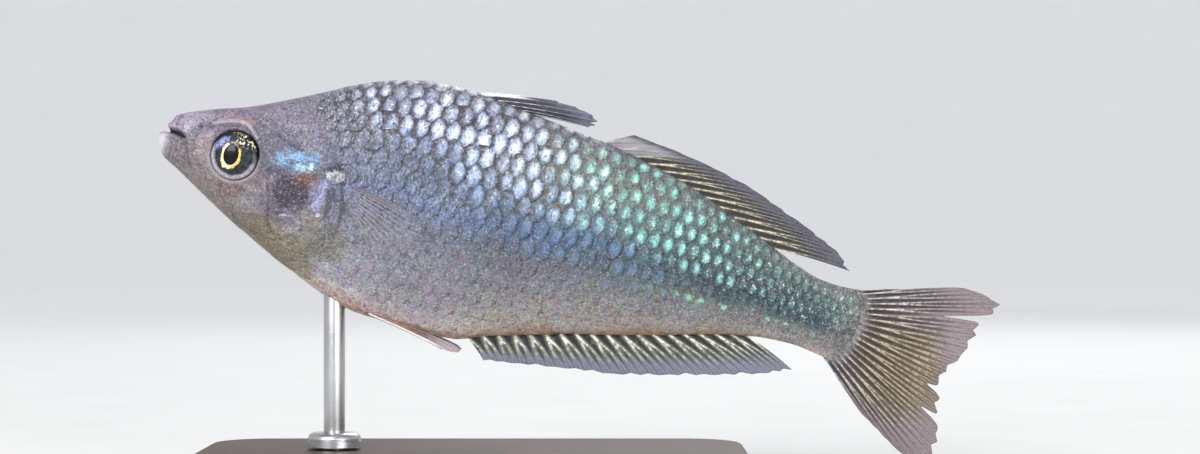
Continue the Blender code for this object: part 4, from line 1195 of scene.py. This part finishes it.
def make_fin(name, rays, size, base, tip, centre, bow=0.0, forks=(), slits=(), scallop=0.02,
             ray_height=0.34, thin=0.45, ray_width=0.2, fleshy=0.08):
    """A grid shaped into a fin's middle surface, then thickened into ridges along its rays.

    base and tip give the ends of a ray at a share across the fin, centre the sideways place, and
    slits the gaps between rays where the margin is torn and by how much of their length. fleshy is
    the share of the rays' length where flesh fills the furrows between them.
    """
    columns, rows = size
    piece = new_shape(
        bpy.ops.mesh.primitive_grid_add, name, x_subdivisions=columns, y_subdivisions=rows, size=1
    )
    u, v, _ = (vertex_places(piece) + 0.5).T
    place = u * (rays - 1)
    margin = 1 - scallop * (1 - np.abs(2 * (place % 1) - 1)) * (1 + 0.6 * np.sin(place * 2.3))
    for gap, depth in slits:
        margin -= depth * hill(place - gap - 0.5, 0.2)
    reach = v * margin
    (x0, z0), (x1, z1) = base(u), tip(u)
    bend = bow * reach * (1 - reach)
    x = x0 + (x1 - x0) * reach - (z1 - z0) * bend
    z = z0 + (z1 - z0) * reach + (x1 - x0) * bend
    ridge = ray_ridges(place, v, forks, ray_width)
    maps = {"along_ray": v, "across_fin": u, "between_rays": 1 - eased(ridge, 0.02, 0.16)}
    ridge = ridge * (1 - 0.3 * v)
    maps["ray"] = ridge
    points = np.stack((x, centre(x, z, u, reach), z), -1)
    piece.data.vertices.foreach_set("co", in_world(points).ravel())
    flesh = (1 - ridge) * (1 - eased(v, 0.3 * fleshy, 1.4 * fleshy))
    thickness = FIN_MEMBRANE * (1 - thin * v) + ray_height * (ridge * (1 - 0.62 * v) + 0.8 * flesh)
    greatest = float(thickness.max())
    group = piece.vertex_groups.new(name="thickness")
    for level in range(THICKNESS_STEPS + 1):
        members = np.flatnonzero(np.rint(thickness / greatest * THICKNESS_STEPS) == level)
        if len(members):
            group.add(members.tolist(), level / THICKNESS_STEPS, "REPLACE")
    for label, values in maps.items():
        add_map(piece, label, values)
    modifier = piece.modifiers.new("thickness", "SOLIDIFY")
    modifier.thickness = greatest * MM
    modifier.offset = 0
    modifier.vertex_group = "thickness"
    bpy.ops.object.modifier_apply(modifier=modifier.name)
    in_edit_mode(piece, "FACE", *OUTWARDS)
    smooth_shaded(piece)
    return piece


def fin_skin(name, ray_tone, web, margin, root, web_cover, gaps, ray_cover=1.0, spots=0.0,
             blush=None, fleshy=0.05, edge=None):
    """A fin's finish: pale jointed rays in a tinted web, with dark gaps between them near the root.

    fleshy is the share of the rays' length that body skin covers, edge a (tone, strength, share of
    the length) for the first ray, and blush a (web tone, ray tone, centre, radii, tilt).
    """
    finish = Finish(name, Specular_IOR_Level=0.3, Coat_Weight=0.12, Coat_Roughness=0.2)
    where = fish_place(finish)
    x, _, z = finish.parts(where)
    labels = ("ray", "along_ray", "across_fin", "between_rays")
    ray, v, u, between = (finish.mapped(label) for label in labels)
    cloud = finish.noise(where, 0.45, 4, 0.6)
    fine = finish.noise(where, 2.4, 3, 0.65)
    grit = finish.noise(where, 5.0, 3, 0.65)
    drift = v.stray(cloud, 0.5)
    bare = v.stray(fine, 0.12).rise(fleshy * 0.4, fleshy * 1.6)
    streak = ray.stray(fine, 0.6).rise(0.40, 0.90)
    striae = ray.stray(fine, 0.5).rise(0.4, 0.1) * v.rise(0.25, 0.5)
    gap = between.stray(fine, 0.6).rise(0.30, 0.65) * drift.stray(fine, 0.6).rise(1.1, 0.55)
    gap = gap * (finish.noise(where, 1.0, 3, 0.6).rise(0.32, 0.46) * 0.7 + 0.3)
    dark = (fine + cloud * 0.4).rise(0.66, 0.80) * spots
    joints = (v * 230).wave().rise(0.4, 0.95) * v.rise(0.15, 0.35)
    tone = finish.mix(drift.rise(0.50, 0.95), web, margin)
    pale = finish.mix(drift.rise(0.25, 0.80) * 0.9, ray_tone, margin)
    pale = finish.mix(joints * 0.4, pale, web)
    if blush:
        warm = patch(x.stray(cloud, 5), z.stray(fine, 3), *blush[2:], 0.9)
        tone = finish.mix(warm * 0.75, tone, blush[0])
        pale = finish.mix(warm * 0.80, pale, blush[1])
    tone = finish.coats(tone, (striae * gaps * 0.40, PIGMENT_BLACK_AND_SHADE), (gap * gaps, PIGMENT_BLACK_AND_SHADE), (dark, PIGMENT_BLACK_AND_SHADE))
    patchy = (fine * 1.6 + cloud * 0.7).rise(0.85, 1.35)
    colour = finish.mix(streak * (patchy * 0.85 + 0.15), tone, pale)
    if edge:
        first = u.stray(fine, 0.04).rise(0.20, 0.11) * v.rise(edge[2] + 0.15, edge[2] - 0.15)
        colour = finish.mix(first * edge[1], colour, edge[0])
    skin_tones = (tuple(share * channel for channel in root) for share in (0.5, 1.3))
    colour = finish.mix(bare, finish.mix(fine.rise(0.36, 0.64), *skin_tones), colour)
    colour = finish.mix(grit.rise(0.50, 0.36) * 0.30, colour, PIGMENT_BLACK_AND_SHADE)
    cover = streak * (ray_cover - web_cover) + web_cover + dark * 0.2 + gap * (gaps * 0.5)
    if edge:
        cover = cover + first * 0.5
    cover = (cover + bare * -0.5 + 0.5).least(1.0)
    finish.give(Base_Color=colour, Alpha=cover, Roughness=fine * 0.25 + 0.3)
    finish.bump(fine * 0.5 + joints * streak * 0.4 + grit * 0.3, 0.05 * MM, 0.6)
    return finish.material


def at_share(span, share):
    """The number at a share of the way from one end of a span to the other."""
    return span[0] + (span[1] - span[0]) * share


def root_line(line, span, sink):
    """A fin's root along the back or belly, sunk a little into the skin."""
    def base(u):
        along = at_share(span, u)
        return along, line(along) - sink

    return base


def sway(depth, waves, start=0):
    """The slight sideways wave of a fin, which grows towards its margin."""
    return lambda x, z, u, v: depth * np.sin(waves * u + start) * v


spiny_span, spiny_tips = SPINY_DORSAL
spiny = make_fin(
    "dorsal_fin_of_spines", 6, (121, 40), root_line(back_line, spiny_span, FIN_SINK),
    path_at(spiny_tips), sway(0.12, 9), bow=0.06, scallop=0.05, ray_height=0.42, ray_width=0.16,
)
steely = fin_skin(
    "steely_fin_skin", (0.80, 0.78, 0.84), (0.090, 0.095, 0.115), (0.20, 0.20, 0.29),
    (0.10, 0.10, 0.13), 0.74, gaps=0.8, spots=0.5, edge=((0.86, 0.86, 0.92), 1.0, 0.62),
)
finish_piece(spiny, steely, "fin_membrane", "spiny_dorsal_fin")

soft_span, soft_tips = SOFT_DORSAL
soft = make_fin(
    "dorsal_fin_of_rays", 13, (193, 44), root_line(back_line, soft_span, FIN_SINK),
    lambda u: path_at(soft_tips)(u**0.75), sway(0.15, 7, 1), bow=0.06, forks=(0.12, 0.55),
    scallop=0.03, ray_height=0.36, ray_width=0.18,
)
dusk = fin_skin(
    "dusky_fin_skin", (0.62, 0.52, 0.36), (0.060, 0.066, 0.050), (0.080, 0.080, 0.115),
    (0.075, 0.072, 0.065), 0.70, gaps=0.95, spots=0.6, edge=((0.30, 0.29, 0.32), 0.7, 0.8),
)
finish_piece(soft, dusk, "fin_membrane", "soft_dorsal_fin")

anal_span, anal_tips = ANAL
anal = make_fin(
    "anal_fin_of_rays", 19, (229, 40), root_line(belly_line, anal_span, -FIN_SINK),
    path_at(anal_tips), sway(0.15, 8), bow=0.10, forks=(0.08, 0.5), scallop=0.035,
    ray_height=0.36, ray_width=0.18,
)
olive = fin_skin(
    "olive_fin_skin", (0.76, 0.73, 0.62), (0.10, 0.11, 0.085), (0.16, 0.165, 0.23),
    (0.05, 0.046, 0.03), 0.80, gaps=1.0, spots=0.3,
)
finish_piece(anal, olive, "fin_membrane", "anal_fin")


# The tail fin: seventeen forked rays and the short ones at its edges, in two rounded lobes. The
# upper lobe is curled and its skin torn beside the fourth ray.
def tail_root(u):
    turn, radius = np.radians(at_share(TAIL_ARC_SPAN, u)), TAIL_ARC_RADIUS - TAIL_SINK
    return TAIL_ARC_CENTRE[0] + radius * np.cos(turn), TAIL_ARC_CENTRE[1] + radius * np.sin(turn)


tail = make_fin(
    "tail_fin_of_rays", len(TAIL_TIPS), (289, 80), tail_root, path_at(TAIL_TIPS),
    lambda x, z, u, v: TAIL_WAVE * v * v * np.sin(math.tau * (0.9 * u + 0.35 * v)),
    forks=(0.10, 0.5), slits=TAIL_SLITS, scallop=0.03, ray_height=0.5, fleshy=0.12,
)
tail_brass = ((0.105, 0.072, 0.028), (0.37, 0.30, 0.18), (86.5, -3.6), (8.0, 6.6), -30)
rosy = fin_skin(
    "rosy_fin_skin", (0.56, 0.49, 0.48), (0.105, 0.090, 0.090), (0.22, 0.175, 0.185),
    (0.15, 0.14, 0.14), 0.90, gaps=0.92, spots=0.4, blush=tail_brass, fleshy=0.07,
)
finish_piece(tail, rosy, "fin_membrane", "tail_fin")

# The pectoral fins: clear fans behind the gill covers, held a little off the flanks, with fine
# branched rays and almost no colour.
PECTORAL_BASE = ((22.0, 0.6), (22.8, -2.4))
PECTORAL_TIPS = ((30.4, -1.2), (31.2, -2.2), (31.0, -3.5), (30.0, -4.8), (28.4, -5.8), (26.6, -6.3))
PECTORAL_SINK, PECTORAL_STANDOFF, PECTORAL_FLARE = 0.5, 1.3, 1.2
clear = fin_skin(
    "clear_fin_skin", (0.60, 0.50, 0.52), (0.27, 0.26, 0.31), (0.34, 0.31, 0.36),
    (0.18, 0.15, 0.16), 0.03, gaps=0.06, ray_cover=0.36, edge=((0.05, 0.04, 0.06), 0.5, 0.7),
)


def pectoral_place(side):
    def centre(x, z, u, v):
        rooted = PECTORAL_STANDOFF * (1 - (1 - v) ** 3) - PECTORAL_SINK + PECTORAL_FLARE * v
        return side * (plain_half_width(x, z) + rooted)

    return centre


def pectoral_root(u):
    return [at_share(span, u) for span in zip(*PECTORAL_BASE)]


for fin_side, fin_name in ((-1, "left"), (1, "right")):
    pectoral = make_fin(
        f"pectoral_fan_{fin_name}", 12, (133, 36), pectoral_root, path_at(PECTORAL_TIPS),
        pectoral_place(fin_side), bow=0.05, forks=(0.5,), ray_height=0.22,
    )
    finish_piece(pectoral, clear, "fin_membrane", f"pectoral_fin_{fin_name}")

# The pelvic fins: two narrow folded blades laid back under the belly, with a pale lower edge and
# an orange blush.
PELVIC_ROOT = (27.0, 28.6)
PELVIC_TIPS = ((36.2, -14.75), (38.1, -14.7), (38.4, -14.25), (37.4, -14.0))
PELVIC_SIDE, PELVIC_SPLAY = 1.15, 0.55
amber = fin_skin(
    "amber_fin_skin", (0.66, 0.50, 0.42), (0.24, 0.14, 0.10), (0.40, 0.35, 0.38),
    (0.16, 0.085, 0.06), 0.85, gaps=0.6, edge=((0.74, 0.70, 0.72), 0.8, 0.9),
)


def pelvic_place(side):
    def centre(x, z, u, v):
        return side * (PELVIC_SIDE + PELVIC_SPLAY * v + 0.25 * (1 - u))

    return centre


def pelvic_root(u):
    along = at_share(PELVIC_ROOT, u)
    level, _, down, wide, _, full = body_section(along)
    return along, level - down * (1 - (PELVIC_SIDE / wide) ** full) ** (1 / full) + 0.1 + 0.5 * u


for fin_side, fin_name in ((-1, "left"), (1, "right")):
    pelvic = make_fin(
        f"pelvic_blade_{fin_name}", 6, (81, 40), pelvic_root, path_at(PELVIC_TIPS),
        pelvic_place(fin_side), bow=0.06, forks=(0.6,), ray_height=0.26,
    )
    finish_piece(pelvic, amber, "fin_membrane", f"pelvic_fin_{fin_name}")

# The studio: a plain pale floor that curves up all round the model, far enough away for a walk
# round it, with soft light from big panels above and to both sides. None of it is the model's.
FLOOR_RADIUS, FLOOR_CURVE, WALL_HEIGHT = 1.1, 0.9, 1.8
studio = new_shape(
    bpy.ops.mesh.primitive_grid_add, "studio_floor", x_subdivisions=96, y_subdivisions=96, size=2
)
sheet_x, sheet_y, _ = vertex_places(studio).T
run = np.maximum(np.abs(sheet_x), np.abs(sheet_y))
run = run * (FLOOR_RADIUS + FLOOR_CURVE * math.pi / 2 + WALL_HEIGHT)
turn = np.clip((run - FLOOR_RADIUS) / FLOOR_CURVE, 0, math.pi / 2)
past = np.clip(run - FLOOR_RADIUS - FLOOR_CURVE * math.pi / 2, 0, None)
radius = np.minimum(run, FLOOR_RADIUS) + FLOOR_CURVE * np.sin(turn)
height = FLOOR_CURVE * (1 - np.cos(turn)) + past
angle = np.arctan2(sheet_y, sheet_x)
floor_points = np.stack((radius * np.cos(angle), radius * np.sin(angle), height), -1)
studio.data.vertices.foreach_set("co", floor_points.ravel())
smooth_shaded(studio)
paper = Finish("studio_paper", Roughness=0.85, Emission_Strength=1.0)
paper_tone = paper.noise(paper.place(unit=0.02), 1.0, 3)
paper.give(Base_Color=paper.mix(paper_tone, (0.60, 0.60, 0.59), (0.66, 0.66, 0.65)))
# The paper also glows: not at all near the model, and more and more out to 0.9 m from it. This is painted
# light that brightens the far floor and walls, which the panels light less.
paper_x, paper_y, paper_z = paper.parts(paper.place(unit=1.0))
paper_away = (paper_x * paper_x + paper_y * paper_y + paper_z * paper_z) ** 0.5
paper.give(Emission_Color=paper.mix(paper_away.rise(0.1, 0.9), (0, 0, 0), (0.30, 0.305, 0.32)))
paper.material.cycles.emission_sampling = "NONE"
studio.data.materials.append(paper.material)

# Each light panel: its name, place, width and power
PANELS = (
    ("key_panel", (-0.30, -0.52, 0.34), 0.30, 4.6),
    ("fill_panel", (0.34, -0.50, 0.09), 0.34, 2.2),
    ("top_panel", (0.02, 0.02, 0.60), 0.40, 1.1),
    ("rear_panel", (0.10, 0.42, 0.36), 0.30, 1.0),
)
MODEL_MIDDLE = Vector((0, 0, 0.03))
for panel_name, panel_place, panel_size, panel_power in PANELS:
    light = bpy.data.lights.new(panel_name, "AREA")
    light.shape = "SQUARE"
    light.size = panel_size
    light.energy = panel_power
    panel = bpy.data.objects.new(panel_name, light)
    panel.location = panel_place
    panel.visible_camera = False
    towards = MODEL_MIDDLE - Vector(panel_place)
    panel.rotation_euler = towards.to_track_quat("-Z", "Y").to_euler()
    bpy.context.scene.collection.objects.link(panel)
bpy.context.scene.view_settings.view_transform = "Standard"
world = bpy.data.worlds.new("studio_air")
world.use_nodes = True
air = world.node_tree.nodes["Background"].inputs
air["Color"].default_value = (0.80, 0.86, 1.0, 1)
air["Strength"].default_value = 0.30
bpy.context.scene.world = world

# The camera: level with the fish and square to its left side, with the photo's framing.
VIEW_WIDTH, VIEW_CENTRE = 135.0 * MM, Vector((2.31 * MM, 0, 29.98 * MM))
camera_data = bpy.data.cameras.new("camera")
camera_data.lens = 85
camera_data.clip_start = 0.01
camera = bpy.data.objects.new("camera", camera_data)
distance = VIEW_WIDTH * camera_data.lens / camera_data.sensor_width
camera.location = VIEW_CENTRE - Vector((0, distance, 0))
camera.rotation_euler = (math.pi / 2, 0, 0)
bpy.context.scene.collection.objects.link(camera)
bpy.context.scene.camera = camera
